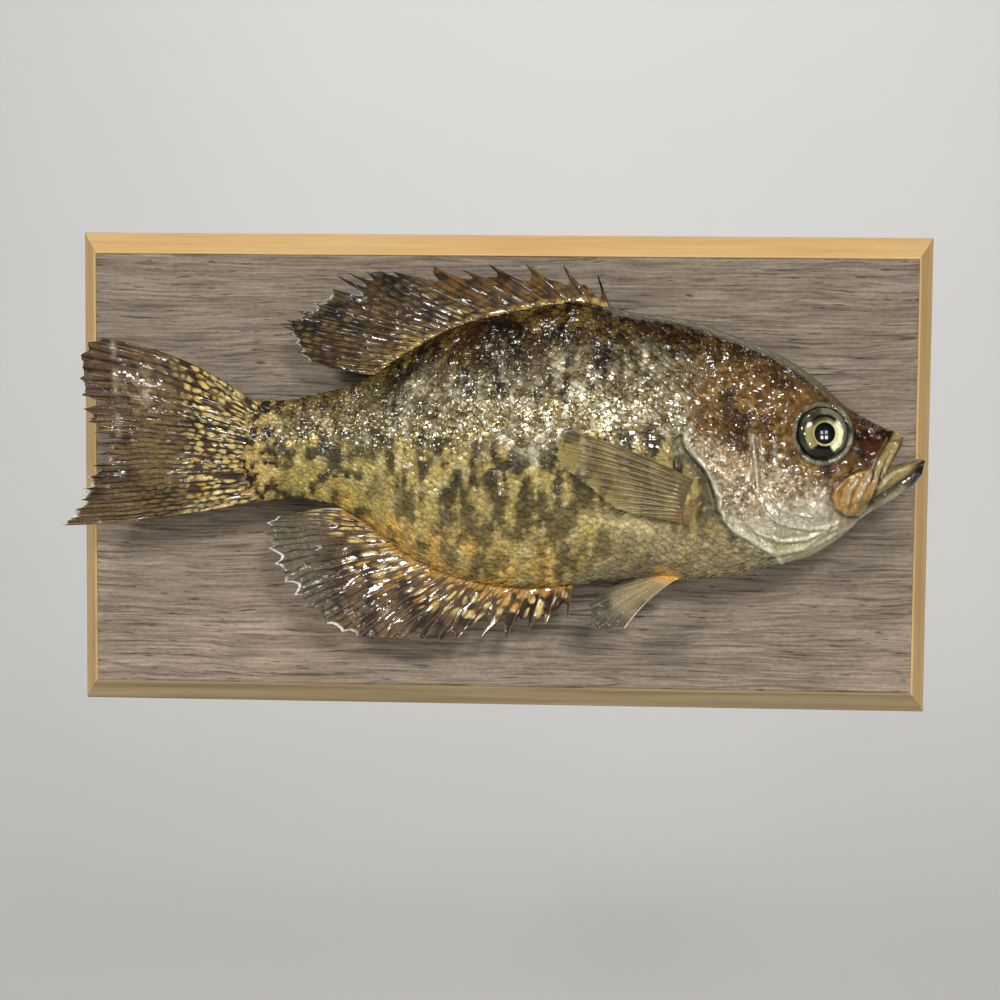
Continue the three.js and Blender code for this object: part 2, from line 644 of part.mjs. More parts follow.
const PANEL_WIDTH = BOARD_WIDTH - 2 * SIDE_STRIP_WIDTH;
const PANEL_HEIGHT = BOARD_HEIGHT - 2 * LONG_STRIP_WIDTH;
const HANGER_Z = BOARD_HEIGHT / 2 - HANGER_DROP;

// A box cut into the back face of the panel, below or above the hanger's middle by a drop.
function backPocket(width, depth, height, drop) {
  const pocket = new THREE.BoxGeometry(width, 2 * depth, height);
  pocket.translate(0, 0, HANGER_Z - drop);
  return toSolid(pocket);
}

// The panel, with a seat for the hanger and behind it a deeper pocket for the nail's head.
function panel() {
  const board = new THREE.BoxGeometry(PANEL_WIDTH, BOARD_THICKNESS, PANEL_HEIGHT);
  board.translate(0, -BOARD_THICKNESS / 2, 0);
  const seat = backPocket(HANGER_LENGTH + 1, HANGER_THICKNESS + PART_GAP, HANGER_HEIGHT + 1, 0);
  const nailRoom = backPocket(NAIL_ROOM.width, NAIL_ROOM.depth, NAIL_ROOM.height, NAIL_ROOM.drop);
  return toSolid(board).subtract(seat).subtract(nailRoom);
}

// A steel strip with teeth along its lower edge, set flush with the back of the panel.
function hanger() {
  const half = HANGER_LENGTH / 2;
  const shape = new THREE.Shape();
  const toothRun = HANGER_LENGTH - 16;
  const lower = -HANGER_HEIGHT / 2;
  shape.moveTo(-half, lower);
  for (let i = 0; i < HANGER_TEETH; i += 1) {
    const start = -toothRun / 2 + (toothRun * i) / HANGER_TEETH;
    shape.lineTo(start, lower);
    shape.lineTo(start + toothRun / HANGER_TEETH / 2, lower + 1.6);
  }
  shape.lineTo(toothRun / 2, lower);
  shape.lineTo(half, lower);
  shape.lineTo(half, -lower);
  shape.lineTo(-half, -lower);
  shape.closePath();
  const geometry = new THREE.ExtrudeGeometry(shape, { depth: HANGER_THICKNESS, bevelEnabled: false });
  geometry.rotateX(Math.PI / 2);
  geometry.translate(0, 0, HANGER_Z);
  return geometry;
}

// ---------------------------------------------------------------- the assembly

const group = new THREE.Group();

function add(name, geometry, colour, roughness, metalness = 0) {
  const material = new THREE.MeshStandardMaterial({ color: colour, roughness, metalness });
  const mesh = new THREE.Mesh(geometry, material);
  mesh.name = name;
  group.add(mesh);
}

add('board_panel', toGeometry(panel()), COLOURS.panel, 0.8);
for (const [place, geometry] of Object.entries(frameStrips())) {
  add(`frame_${place}`, geometry, COLOURS.strip, 0.45);
}
add('hanger', hanger(), COLOURS.steel, 0.4, 0.9);

const { trunk, stalk } = trunkAndStalk();
const covers = gillCovers();
add('trunk', toGeometry(trunk), COLOURS.flank, 0.2);
add('tail_stalk', toGeometry(stalk), COLOURS.tail, 0.2);
add('head', toGeometry(head()), COLOURS.head, 0.2);
add('gill_cover_right', toGeometry(covers.right), COLOURS.cover, 0.2);
add('gill_cover_left', toGeometry(covers.left), COLOURS.cover, 0.2);
add('upper_jaw', toGeometry(upperJaw()), COLOURS.jaw, 0.2);
add('lower_jaw', toGeometry(lowerJaw()), COLOURS.jaw, 0.2);
add('dorsal_fin', dorsalFin(), COLOURS.back, 0.25);
add('anal_fin', analFin(), COLOURS.fin, 0.25);
add('tail_fin', tailFin(), COLOURS.fin, 0.25);
for (const [name, side] of [['right', -1], ['left', 1]]) {
  add(`eye_${name}`, eyeball(side), COLOURS.eye, 0.05);
  add(`pectoral_fin_${name}`, pectoralFin(side), COLOURS.softFin, 0.25);
  add(`pelvic_fin_${name}`, pelvicFin(side), COLOURS.softFin, 0.25);
}

export default group;
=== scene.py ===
import itertools
import math
from collections import namedtuple

import bmesh
import bpy
import numpy as np
from mathutils import Matrix, Vector


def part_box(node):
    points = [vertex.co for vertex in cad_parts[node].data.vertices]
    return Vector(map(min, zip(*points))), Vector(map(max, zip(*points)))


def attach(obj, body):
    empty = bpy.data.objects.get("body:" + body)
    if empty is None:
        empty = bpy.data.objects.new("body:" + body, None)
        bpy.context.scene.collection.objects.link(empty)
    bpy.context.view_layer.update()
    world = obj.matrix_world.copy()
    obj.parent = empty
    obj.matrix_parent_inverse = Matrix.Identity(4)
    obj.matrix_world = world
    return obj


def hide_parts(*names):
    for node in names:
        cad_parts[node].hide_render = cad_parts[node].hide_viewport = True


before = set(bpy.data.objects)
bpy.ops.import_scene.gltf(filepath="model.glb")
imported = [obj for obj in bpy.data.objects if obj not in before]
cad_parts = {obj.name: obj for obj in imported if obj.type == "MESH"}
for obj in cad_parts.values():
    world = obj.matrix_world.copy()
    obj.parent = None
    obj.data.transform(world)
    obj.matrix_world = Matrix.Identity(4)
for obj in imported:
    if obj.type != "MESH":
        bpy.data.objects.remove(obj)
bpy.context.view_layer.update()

MM = 0.001

# ---------------------------------------------------------------- the body's shape, as in the CAD

# x, height of the back, height of the belly, half width, Y of the middle plane
TRUNK_ROWS = np.array([
    [-99.0, 29.2, -12.0, 1.3, -44.9],
    [-93.0, 28.2, -10.9, 3.6, -44.2],
    [-80.0, 28.6, -9.9, 5.4, -42.2],
    [-66.0, 31.3, -10.9, 7.6, -40.2],
    [-50.0, 37.0, -19.4, 10.8, -38.6],
    [-34.0, 47.8, -31.2, 14.6, -37.8],
    [-15.0, 57.4, -39.2, 18.0, -38.0],
    [8.0, 63.3, -42.6, 20.6, -39.4],
    [30.0, 66.4, -40.6, 21.8, -41.4],
    [50.0, 63.0, -37.7, 21.8, -43.6],
    [70.0, 60.2, -37.9, 20.6, -45.4],
    [92.0, 52.6, -34.8, 19.4, -47.4],
    [104.0, 47.4, -31.0, 17.4, -48.6],
])
HEAD_ROWS = np.array([
    [58.0, 61.8, -37.9, 21.4, -44.4],
    [70.0, 60.2, -37.9, 22.4, -45.4],
    [92.0, 52.6, -34.8, 21.6, -47.4],
    [106.0, 46.4, -30.8, 19.6, -48.8],
    [118.0, 38.4, -27.0, 16.8, -49.8],
    [128.0, 29.4, -20.2, 14.0, -50.6],
    [136.0, 24.4, -12.6, 11.6, -51.2],
    [143.0, 21.0, -8.2, 9.6, -51.6],
    [149.0, 18.4, -4.4, 7.8, -52.0],
    [154.0, 11.8, -0.5, 5.8, -52.3],
    [156.8, 9.6, 2.8, 3.9, -52.4],
    [157.8, 8.8, 6.4, 1.6, -52.4],
])
TOP, BOTTOM, HALF_WIDTH, MIDDLE = 1, 2, 3, 4
NECK_X = 70.0  # behind it the heights come from the trunk's rows, before it from the head's
TAIL_END, SNOUT_END = -99.0, 157.8
WIDEST_AT = 0.44
BACK_SHARPNESS, BELLY_SHARPNESS, FLANK_FULLNESS = 1.7, 1.95, 2.15
CONTACT_PLANE, FREE_PLANE = -19.3, -22.5  # the far flank lies against the panel at the tail end
CONTACT_ENDS = (2.0, 22.0)
RIGHT, LEFT = -1, 1

# The rear edge of the gill cover, from the nape down to the throat, as (x, z).
GILL_EDGE = [(78, 78), (75, 50), (71, 27), (70, 21.1), (68.3, 18.2), (68.2, 15.6), (69.4, 13),
             (71.4, 10.5), (76.1, 5.8), (78.7, 1.4), (80.6, -4.5), (81.4, -9.2), (83.7, -13.6),
             (87, -17.3), (91.1, -19.4), (95.5, -22.3), (100.3, -24.8), (104, -28.5), (106.5, -33),
             (107, -40)]
GILL_EDGE_TOP = 22.0
PREOPERCLE = [(93.7, 18), (94.6, 10), (95.3, 4), (96.3, -4.5), (98.9, -10.2), (103.5, -13.6),
              (108.1, -15.2), (115.4, -16.4), (121, -15.8), (126, -13.8)]
PREOPERCLE_INNER = [(96.4, 17), (97.6, 9), (98.4, 2), (100, -4), (104, -8.6), (110, -10.6), (116, -11.6)]
CHEEK_FOLDS = [  # the line of each fold from the rear forwards, and its height
    ([(84, -12), (88, -17.5), (95, -22.4), (104.8, -25.6), (113, -23.6), (119, -19.6), (126, -15.4)], 1.1),
    ([(91, -12), (96, -17.4), (104.8, -21), (114, -20.2), (122, -16.4)], 0.95),
    ([(86.5, 3), (87.5, -4), (90, -9.5)], 0.35),
    ([(101.6, 16), (102.4, 8), (103.4, 1)], 0.35),
    ([(112, -25), (121, -21), (130, -16.5), (134, -14)], 0.5),
]
HEAD_LINES = [  # the fold lines, painted pale along their crests as a painted highlight and darker in the groove beside them as painted shade, and how strongly
    (PREOPERCLE, 0.5), (PREOPERCLE_INNER, 0.35), *((line, 0.5) for line, _ in CHEEK_FOLDS)]
MAXILLA_GLINTS = [[(137.6, 4), (134.6, 0), (132.4, -5)], [(132, 2.0), (129.4, -1.6), (128.6, -6)]]
MAXILLA = [(143.5, 17.7), (140.2, 12.2), (137.1, 6.2), (132.1, 4.9), (127.2, 2.3), (123.9, -1.1),
           (122.7, -4.1), (124.5, -8.3), (128.3, -11.2), (132.9, -11.5), (135.8, -9.8), (136.8, -7.4),
           (139, -1.7), (139.7, 1.2), (141.2, 6), (145, 13)]
LIP_GROOVE = [(146.4, 19.8), (143, 15), (140.7, 11.6), (138.3, 5.6), (137.6, 2)]
GAPE_EDGE = [(151, 19.5), (149.2, 15.8), (145.6, 9), (141.9, 2.6), (140.3, 0.4)]
JAW_EDGE = [(140.4, 0.4), (145.7, 5.5), (152, 7.7), (156.4, 9.2), (158, 9.4)]
JAW_LOWER_LINE = [(137.4, -7), (141, -4.6), (147, -0.6), (153, 3.6), (157, 6.6)]
JAW_CREASE = [(139.8, -0.4), (138.2, -5.4), (136.8, -10), (134, -14.4)]
JAW_BACK = [(137.2, -3.5), (140.2, 0.2)]
LATERAL_LINE = [(74.7, 36), (69.9, 38.5), (55, 41), (40.4, 41.5), (15, 39.4), (-1, 34.8), (-17.5, 29.5),
                (-43.5, 19.9), (-62.2, 14.1), (-86.5, 10.1), (-98, 9)]
# the line of a pale cream painted highlight on the belly under the pectoral fin
CREAM_HIGHLIGHT_LINE = [(36, -12.5), (48, -15), (64, -18.5)]
MOUTH_RELIEF = [  # line, height, width, distance from the line
    (LIP_GROOVE, -0.9, 0.6, 0), (GAPE_EDGE, 0.6, 0.8, 1.2), (JAW_EDGE, 0.7, 0.7, 0.9),
    (JAW_LOWER_LINE, -0.9, 0.6, 0), (JAW_CREASE, -0.7, 0.7, 0)]
NOSTRILS = [(138.7, 21.0, 0.85), (135.0, 22.6, 0.95)]  # x, z, radius
NOSTRIL_HOLLOW = [(132.5, 18), (136, 15.6), (140, 17.0)]
PECTORAL_FEET = [(73.4, 0.9), (67.2, -14.2)]
PELVIC_FEET = [(66.4, -37.2), (59.6, -35.2)]

EYE_RADIUS, EYE_BULGE, EYE_DEPTH = 9.3, 2.4, 5.4
EYE_X, EYE_Z, EYE_OFF_MIDDLE = 119.5, 18.9, 13.4
EYE_TURN_FORWARD, EYE_TURN_UP = math.radians(15), math.radians(5)
ORBIT_RADIUS, SOCKET_RADIUS, SCALELESS_RADIUS = 10.7, 9.7, 13.4  # around the eye

CREST_DEPTH = 3.1  # how far down the bare strip along the nape reaches
SKIN_INSET = 0.55  # the skin lies this far inside the CAD's flesh, under the scales
VOXEL = 0.5


def smooth_step(value, start, end):
    """0 at start, 1 at end, with a soft slope between them."""
    t = np.clip((value - start) / (end - start), 0, 1)
    return t * t * (3 - 2 * t)


def bell(value, width):
    """1 at zero, falling away on both sides within about width."""
    return np.exp(-((value / width) ** 2))


def mix(a, b, share):
    """Blends numbers, or colours where share has one value for each point."""
    share = np.asarray(share)
    if np.ndim(a) or np.ndim(b):
        if np.shape(a)[-1:] == (3,) and share.ndim:
            share = share[..., None]
    return a + (b - a) * share


def value_at(rows, x, column):
    """The smooth curve through one column of a table, at x."""
    xs, ys = rows[:, 0], rows[:, column]
    before = np.maximum(np.arange(len(xs)) - 1, 0)
    after = np.minimum(np.arange(len(xs)) + 1, len(xs) - 1)
    slopes = (ys[after] - ys[before]) / (xs[after] - xs[before])
    i = np.clip(np.searchsorted(xs, x, side="left") - 1, 0, len(xs) - 2)
    span = xs[i + 1] - xs[i]
    t = np.clip((x - xs[i]) / span, 0, 1)
    curved = (2 * t**3 - 3 * t**2 + 1) * ys[i] + (3 * t**2 - 2 * t**3) * ys[i + 1]
    return curved + (t**3 - 2 * t**2 + t) * span * slopes[i] + (t**3 - t**2) * span * slopes[i + 1]


def along_body(x, column):
    return np.where(x < NECK_X, value_at(TRUNK_ROWS, x, column), value_at(HEAD_ROWS, x, column))


def middle_at(x):
    return along_body(np.asarray(x, float), MIDDLE)


def line_distance(x, z, line):
    """Distance to a line of (x, z) points, and the same with a sign: positive on its right-hand side
    when it is followed from first to last."""
    best = np.full(np.shape(x), 1e9)
    sign = np.ones(np.shape(x))
    for (ax, az), (bx, bz) in zip(line, line[1:]):
        dx, dz = bx - ax, bz - az
        t = np.clip(((x - ax) * dx + (z - az) * dz) / (dx * dx + dz * dz), 0, 1)
        distance = np.hypot(x - ax - t * dx, z - az - t * dz)
        side = np.sign((x - ax) * dz - (z - az) * dx)
        nearer = distance < best
        best = np.where(nearer, distance, best)
        sign = np.where(nearer, side, sign)
    return best, best * sign


def depth_inside(x, z, outline):
    """Distance to a closed outline, positive inside it."""
    distance, _ = line_distance(x, z, [*outline, outline[0]])
    inside = np.zeros(np.shape(x), bool)
    for (ax, az), (bx, bz) in zip(outline, [*outline[1:], outline[0]]):
        if az != bz:
            crosses = (az > z) != (bz > z)
            inside ^= crosses & (x < (bx - ax) * (z - az) / (bz - az) + ax)
    return np.where(inside, distance, -distance)


def near_line(x, z, line, width, offset=0.0):
    """1 at a distance of offset from a line, falling away within about width."""
    return bell(line_distance(x, z, line)[0] - offset, width)


def from_eye(x, z):
    return np.hypot(x - EYE_X, z - EYE_Z)


def before_gill_edge(x, z):
    """Millimetres in front of the gill cover's rear edge, negative behind it."""
    _, signed = line_distance(x, z, GILL_EDGE)
    return -signed


def half_width(x, z):
    edge = before_gill_edge(x, z)
    softness = 0.5 + 9 * smooth_step(z, GILL_EDGE_TOP - 1, GILL_EDGE_TOP + 9)
    share = smooth_step(edge, -softness, softness)
    trunk = value_at(TRUNK_ROWS, x, HALF_WIDTH)
    head = value_at(HEAD_ROWS, x, HALF_WIDTH)
    return np.where(x < HEAD_ROWS[0, 0], trunk, mix(trunk, head, share))


def rounded(value, sharpness):
    return np.sign(value) * np.abs(value) ** (2 / sharpness)


def body_point(x, angle, side, grow=0.0):
    """A point on the body's surface: angle runs from -90 degrees at the belly to 90 at the back."""
    x = np.asarray(x, float)
    top = along_body(x, TOP) + grow
    bottom = along_body(x, BOTTOM) - grow
    widest = bottom + WIDEST_AT * (top - bottom)
    upper = angle > 0
    height = np.where(upper, top - widest, widest - bottom)
    lift = np.where(upper, rounded(np.sin(angle), BACK_SHARPNESS), rounded(np.sin(angle), BELLY_SHARPNESS))
    z = widest + height * lift
    width = np.maximum(half_width(x, z) + grow, 0.3)
    y = middle_at(x) + side * width * np.abs(np.cos(angle)) ** (2 / FLANK_FULLNESS)
    farthest = mix(CONTACT_PLANE, FREE_PLANE, smooth_step(x, *CONTACT_ENDS)) + grow
    return np.stack([x, np.minimum(y, farthest), z], axis=-1)


class Girth:
    """Turns a share of the way round the body, from belly to back, into an angle of body_point."""

    STEP = 1.0
    ANGLES = 241
    SHARES = 160

    def __init__(self, side):
        self.side = side
        self.stations = np.arange(TAIL_END, SNOUT_END, self.STEP)
        angles = np.linspace(-math.pi / 2, math.pi / 2, self.ANGLES)
        grid = body_point(*np.meshgrid(self.stations, angles, indexing="ij"), side)
        steps = np.linalg.norm(np.diff(grid, axis=1), axis=2)
        run = np.concatenate([np.zeros((len(self.stations), 1)), np.cumsum(steps, axis=1)], axis=1)
        self.length = run[:, -1]
        shares = np.linspace(0, 1, self.SHARES + 1)
        self.angle = np.array([np.interp(shares * row[-1], row, angles) for row in run])

    def _station(self, x):
        place = np.clip((x - TAIL_END) / self.STEP, 0, len(self.stations) - 1.001)
        low = place.astype(int)
        return low, place - low

    def length_at(self, x):
        return np.interp(x, self.stations, self.length)

    def angle_at(self, x, share):
        low, part = self._station(np.asarray(x, float))
        place = np.clip(share, 0, 1) * self.SHARES
        column = np.minimum(place.astype(int), self.SHARES - 1)
        over = place - column
        near = mix(self.angle[low, column], self.angle[low, column + 1], over)
        far = mix(self.angle[low + 1, column], self.angle[low + 1, column + 1], over)
        return mix(near, far, part)

    def point(self, x, share, grow=0.0):
        return body_point(x, self.angle_at(x, share), self.side, grow)

    def frame(self, x, share, grow=0.0):
        """The surface point at a place, its outward normal, and the unit direction towards the back."""
        dx, ds = 0.5, 0.006
        along = self.point(x + dx, share, grow) - self.point(x - dx, share, grow)
        around = self.point(x, share + ds, grow) - self.point(x, share - ds, grow)
        normal = np.cross(along, around) * -self.side
        outward = np.sign(normal[..., 1:2] * self.side + 1e-9)
        flat = np.abs(normal[..., 1:2]) > 0.2 * np.linalg.norm(normal, axis=-1, keepdims=True)
        normal = np.where(flat, normal * outward, normal)
        return self.point(x, share, grow), unit(normal), unit(around)


def unit(vectors):
    return vectors / np.maximum(np.linalg.norm(vectors, axis=-1, keepdims=True), 1e-9)


# ---------------------------------------------------------------- patterns worked out at points

LATTICE = 32


def noise(points, size, seed):
    """Smooth noise from -1 to 1 in lumps about size across, in millimetres: one number, or three."""
    table = np.random.default_rng(seed).uniform(-1, 1, (LATTICE,) * 3)
    cell = points / np.asarray(size, float)
    low = np.floor(cell).astype(int)
    t = cell - low
    t = t * t * (3 - 2 * t)
    total = np.zeros(points.shape[:-1])
    for corner in itertools.product((0, 1), repeat=3):
        weight = np.prod(np.where(corner, t, 1 - t), axis=-1)
        place = (low + corner) % LATTICE
        total += weight * table[place[..., 0], place[..., 1], place[..., 2]]
    return total


def layered_noise(points, size, seed, layers=3):
    total, strength = np.zeros(points.shape[:-1]), 1.0
    for layer in range(layers):
        total += strength * noise(points, np.asarray(size, float) / 2**layer, seed + layer)
        strength *= 0.55
    return total


def patches(points, size, seed, low, high):
    """Soft-edged patches: 0 where the noise lies below low, 1 where it lies above high."""
    return smooth_step(noise(points, size, seed), low, high)


def colour(red, green, blue):
    """A linear colour from an 8-bit one."""
    share = np.array([red, green, blue]) / 255
    return np.where(share <= 0.04045, share / 12.92, ((share + 0.055) / 1.055) ** 2.4)


def layers(tint, *coats):
    """Paints coats over a colour in turn. Each is a colour and the share of it that shows."""
    for shade, share in coats:
        tint = mix(tint, shade, share)
    return tint


def ridge(x, z, line, width, height, groove=0.0):
    """A fold along a line, with a groove on the right-hand side of it as it is followed."""
    distance, signed = line_distance(x, z, line)
    beside = bell(signed - 1.7 * width, width) * (distance < 4 * width)
    return height * bell(distance, width) - groove * beside


def head_relief(x, z):
    """How far the head's bones and folds stand out of its smooth form, in millimetres."""
    edge = before_gill_edge(x, z)
    on_edge = smooth_step(GILL_EDGE_TOP + 3 - z, 0, 4)
    relief = on_edge * 0.5 * smooth_step(edge, -0.4, 0.4) * bell(edge, 6)
    relief -= on_edge * 1.3 * bell(edge + 1.5, 1.3)
    relief += on_edge * (0.4 * bell(edge - 1.3, 0.7) - 0.3 * bell(edge - 3.0, 0.7))
    relief += ridge(x, z, PREOPERCLE, 0.75, 0.75, 0.5)
    relief += ridge(x, z, PREOPERCLE_INNER, 0.6, 0.6, 0.45)
    for fold, height in CHEEK_FOLDS:
        relief += ridge(x, z, fold, 0.8, height, 0.7 * height)
    plate = depth_inside(x, z, MAXILLA)
    relief += 1.2 * smooth_step(plate, -0.3, 0.6) * smooth_step(14 - z, 0, 4)
    relief -= 0.8 * bell(plate + 0.8, 0.6) * (z < 8)
    for glint in MAXILLA_GLINTS:
        relief += ridge(x, z, glint, 1.1, 1.0, 0.5)
    for line, height, width, offset in MOUTH_RELIEF:
        relief += height * near_line(x, z, line, width, offset)
    for hole_x, hole_z, radius in NOSTRILS:
        away = np.hypot(x - hole_x, z - hole_z)
        relief += 0.5 * bell(away - 1.5 * radius, 0.45) - 1.3 * bell(away, 0.75 * radius)
    away = from_eye(x, z)
    relief += 0.9 * bell(away - ORBIT_RADIUS, 0.8) - 0.5 * bell(away - ORBIT_RADIUS - 2, 0.8)
    relief -= 3.2 * smooth_step(SOCKET_RADIUS - away, 0, 0.9)
    return relief - 0.8 * near_line(x, z, NOSTRIL_HOLLOW, 1.4)


def fin_root_distance(x, z, feet, forward, inward):
    """Distance to the line between a paired fin's feet, which is moved forwards and in from both its ends."""
    (upper_x, upper_z), (lower_x, lower_z) = feet
    return line_distance(x, z, [(upper_x + forward[0], upper_z - inward[0]),
                                (lower_x + forward[1], lower_z + inward[1])])[0]


def shoulder_relief(x, z):
    """The fleshy root of the pectoral fin, the hollow behind the gill cover, and the pelvic fin's root."""
    root = fin_root_distance(x, z, PECTORAL_FEET, (2, 3.5), (1.5, 2))
    relief = 1.5 * smooth_step(5.2 - root, 0, 3.4)
    edge = before_gill_edge(x, z)
    hollow = smooth_step(GILL_EDGE_TOP - z, 0, 6) * smooth_step(z, -16, -8)
    wrinkles = np.sin(1.9 * x + 0.9 * z + 2 * np.sin(0.35 * z))
    relief += hollow * bell(edge + 5, 4) * (0.16 * wrinkles - 0.25)
    pelvic = fin_root_distance(x, z, PELVIC_FEET, (1, 0.4), (-2, 1.6))
    return relief + 0.5 * smooth_step(3.5 - pelvic, 0, 2.6)


def relief_at(points):
    x, z = points[..., 0], points[..., 2]
    rough = 0.05 * noise(points, 2.6, 5) + 0.04 * noise(points, 1.3, 6)
    head_share = smooth_step(before_gill_edge(x, z), -5, -3)
    rough = rough + head_share * (0.14 * noise(points, (3.4, 3.4, 1.9), 7) + 0.07 * noise(points, 1.5, 8))
    return head_relief(x, z) * smooth_step(x, 60, 66) + shoulder_relief(x, z) * (1 - head_share) + rough


# ---------------------------------------------------------------- markings, the same on skin and scales

BACK_DARK = colour(20, 13, 5)
BACK_BROWN = colour(54, 35, 13)
BACK_OLIVE = colour(104, 86, 38)
FLANK_OLIVE = colour(118, 104, 66)
FLANK_SILVER = colour(184, 176, 150)
FLANK_YELLOW = colour(164, 145, 86)
BLOTCH_GREY = colour(40, 35, 23)
STALK_YELLOW = colour(152, 136, 70)
STALK_GOLD = colour(172, 148, 82)
CREST_GREY_SHEEN = colour(112, 106, 86)
BELLY_BEIGE = colour(134, 122, 90)
FIN_ORANGE = colour(204, 154, 66)
HEAD_DARK = colour(34, 19, 8)
HEAD_AMBER = colour(108, 78, 40)
HEAD_GOLD = colour(152, 124, 68)
SNOUT_RUST = colour(76, 40, 16)
CHEEK_SILVER = colour(230, 216, 186)
CHEEK_PINK = colour(212, 188, 154)
COVER_EDGE = colour(208, 206, 178)
COVER_SILVER = colour(204, 196, 174)
THROAT_PALE = colour(178, 168, 138)
THROAT_GREEN = colour(164, 160, 92)
LIP_OLIVE = colour(160, 138, 88)
MAXILLA_AMBER = colour(180, 138, 74)
JAW_OLIVE = colour(150, 130, 76)
JAW_TIP = colour(44, 40, 32)
ORBIT_GREY = colour(132, 130, 108)
MOUTH_LINING = colour(120, 96, 66)
HOLLOW_GREY = colour(98, 88, 66)
ROOT_ORANGE = colour(116, 92, 58)
HIGHLIGHT_CREAM = colour(204, 184, 134)
# the pale of a painted highlight along the lower lip
LIP_HIGHLIGHT = colour(196, 180, 132)
SNOUT_GREY = colour(88, 70, 56)
NOSTRIL_RIM, NOSTRIL_HOLE = colour(104, 84, 56), colour(20, 14, 8)
ORBIT_DARK, ORBIT_LINE = colour(60, 60, 44), colour(40, 36, 24)
STALK_DARK = mix(BACK_BROWN, BACK_DARK, 0.5)


def body_share(points):
    """Height on the body, 0 at the belly's outline and 1 at the back's."""
    x = points[..., 0]
    bottom = along_body(x, BOTTOM)
    return np.clip((points[..., 2] - bottom) / (along_body(x, TOP) - bottom), 0, 1)


def flank_colour(points):
    """The trunk's paint, from the belly to the back and from the shoulder to the ocellated tail stalk, with a
    pale cream painted highlight under the pectoral fin.
    """
    x, z = points[..., 0], points[..., 2]
    drift = 0.07 * noise(points, 14, 21) + 0.03 * noise(points, 5, 22)
    share = body_share(points) + drift
    coarse = layered_noise(points, (6.5, 9, 8), 31)
    fine = layered_noise(points, (1.7, 3.0, 3.6), 41, 2)
    blotch = smooth_step(layered_noise(points, (2.9, 7, 6.4), 61, 2) + 0.2 * coarse, -0.16, 0.2)
    back = layers(BACK_BROWN,
                  (BACK_DARK, smooth_step(coarse, -0.4, 0.5)),
                  (BACK_OLIVE, smooth_step(fine + 0.4 * noise(points, 9, 44), 0.15, 0.9)))
    shoulder = smooth_step(x - 0.6 * z, 16, 40)
    upper = layers(FLANK_OLIVE,
                   (FLANK_SILVER, smooth_step(fine, -0.1, 0.6) * (1 - 0.35 * shoulder)),
                   (BACK_BROWN, smooth_step(coarse - 0.4 * fine, 0.25, 0.9) * smooth_step(share, 0.5, 0.75)))
    lower = layers(FLANK_YELLOW,
                   (FLANK_SILVER, 0.45 * smooth_step(fine, 0.2, 0.8)),
                   (BLOTCH_GREY, mix(0.72, 0.92, smooth_step(share, 0.2, 0.5)) * blotch))
    belly = layers(BELLY_BEIGE,
                   (FLANK_YELLOW, smooth_step(fine, 0.0, 0.8) * 0.5),
                   (BLOTCH_GREY, 0.4 * smooth_step(coarse, 0.1, 0.8)))
    rear = smooth_step(52 - x, 0, 26)
    height = mix(z / 100 + 0.42, share, smooth_step(x, 40, 60)) + drift
    tint = layers(belly,
                  (lower, smooth_step(share, 0.12 - 0.14 * rear, 0.3 - 0.2 * rear)),
                  (upper, smooth_step(height, 0.53, 0.61)),
                  (back, mix(0.4, 1.0, smooth_step(share, 0.76, 0.9)) * smooth_step(share, 0.64, 0.76)))
    tint = stalk_colour(points, share, fine, tint)
    above_anal = smooth_step(30 - x, 0, 16) * smooth_step(x, -66, -52)
    bars = smooth_step(noise(points, (5, 8, 13), 71) + 0.3 * fine, -0.2, 0.3)
    bars = np.maximum(bars, smooth_step(0.07 - share, 0, 0.03))
    orange = above_anal * smooth_step(0.27 - share, 0, 0.14) * bars
    # painted highlight: a pale cream band in patches under the pectoral fin
    painted_highlight = near_line(x, z, CREAM_HIGHLIGHT_LINE, 2.6) * patches(points, 3, 87, -0.7, 0.1)
    return layers(tint,
                  (mix(FIN_ORANGE, FLANK_YELLOW, 0.25), 0.8 * orange * (1 - 0.7 * blotch)),
                  (HIGHLIGHT_CREAM, 0.75 * painted_highlight))


def stalk_colour(points, share, fine, tint):
    """The tail stalk's rounded blotches, and the rows of gold spots where the tail fin begins."""
    x = points[..., 0]
    stalk = smooth_step(-36 - x, 0, 20)
    low_half = smooth_step(0.62 - share, 0, 0.12)
    upper_half = stalk * smooth_step(share, 0.6, 0.75)
    rounds = smooth_step(layered_noise(points, (4.4, 8, 4.6), 65, 2), -0.08, 0.2)
    flecks = smooth_step(layered_noise(points, (1.8, 5, 2.4), 67, 2), -0.2, 0.35)
    rows = smooth_step(noise(points, (1.9, 9, 1.7), 69) + 0.2 * noise(points, 0.9, 70), -0.06, 0.14)
    return layers(tint,
                  (mix(STALK_YELLOW, FLANK_YELLOW, smooth_step(fine, 0, 0.7)), stalk * low_half * 0.75),
                  (BLOTCH_GREY, stalk * rounds * (0.5 + 0.38 * low_half)),
                  (mix(FLANK_YELLOW, BACK_OLIVE, 0.5), 0.5 * upper_half),
                  (mix(BACK_BROWN, BACK_DARK, 0.4), 0.8 * upper_half * flecks),
                  (mix(STALK_DARK, STALK_GOLD, rows), smooth_step(-78 - x + 3 * noise(points, 5, 72), 0, 9)))


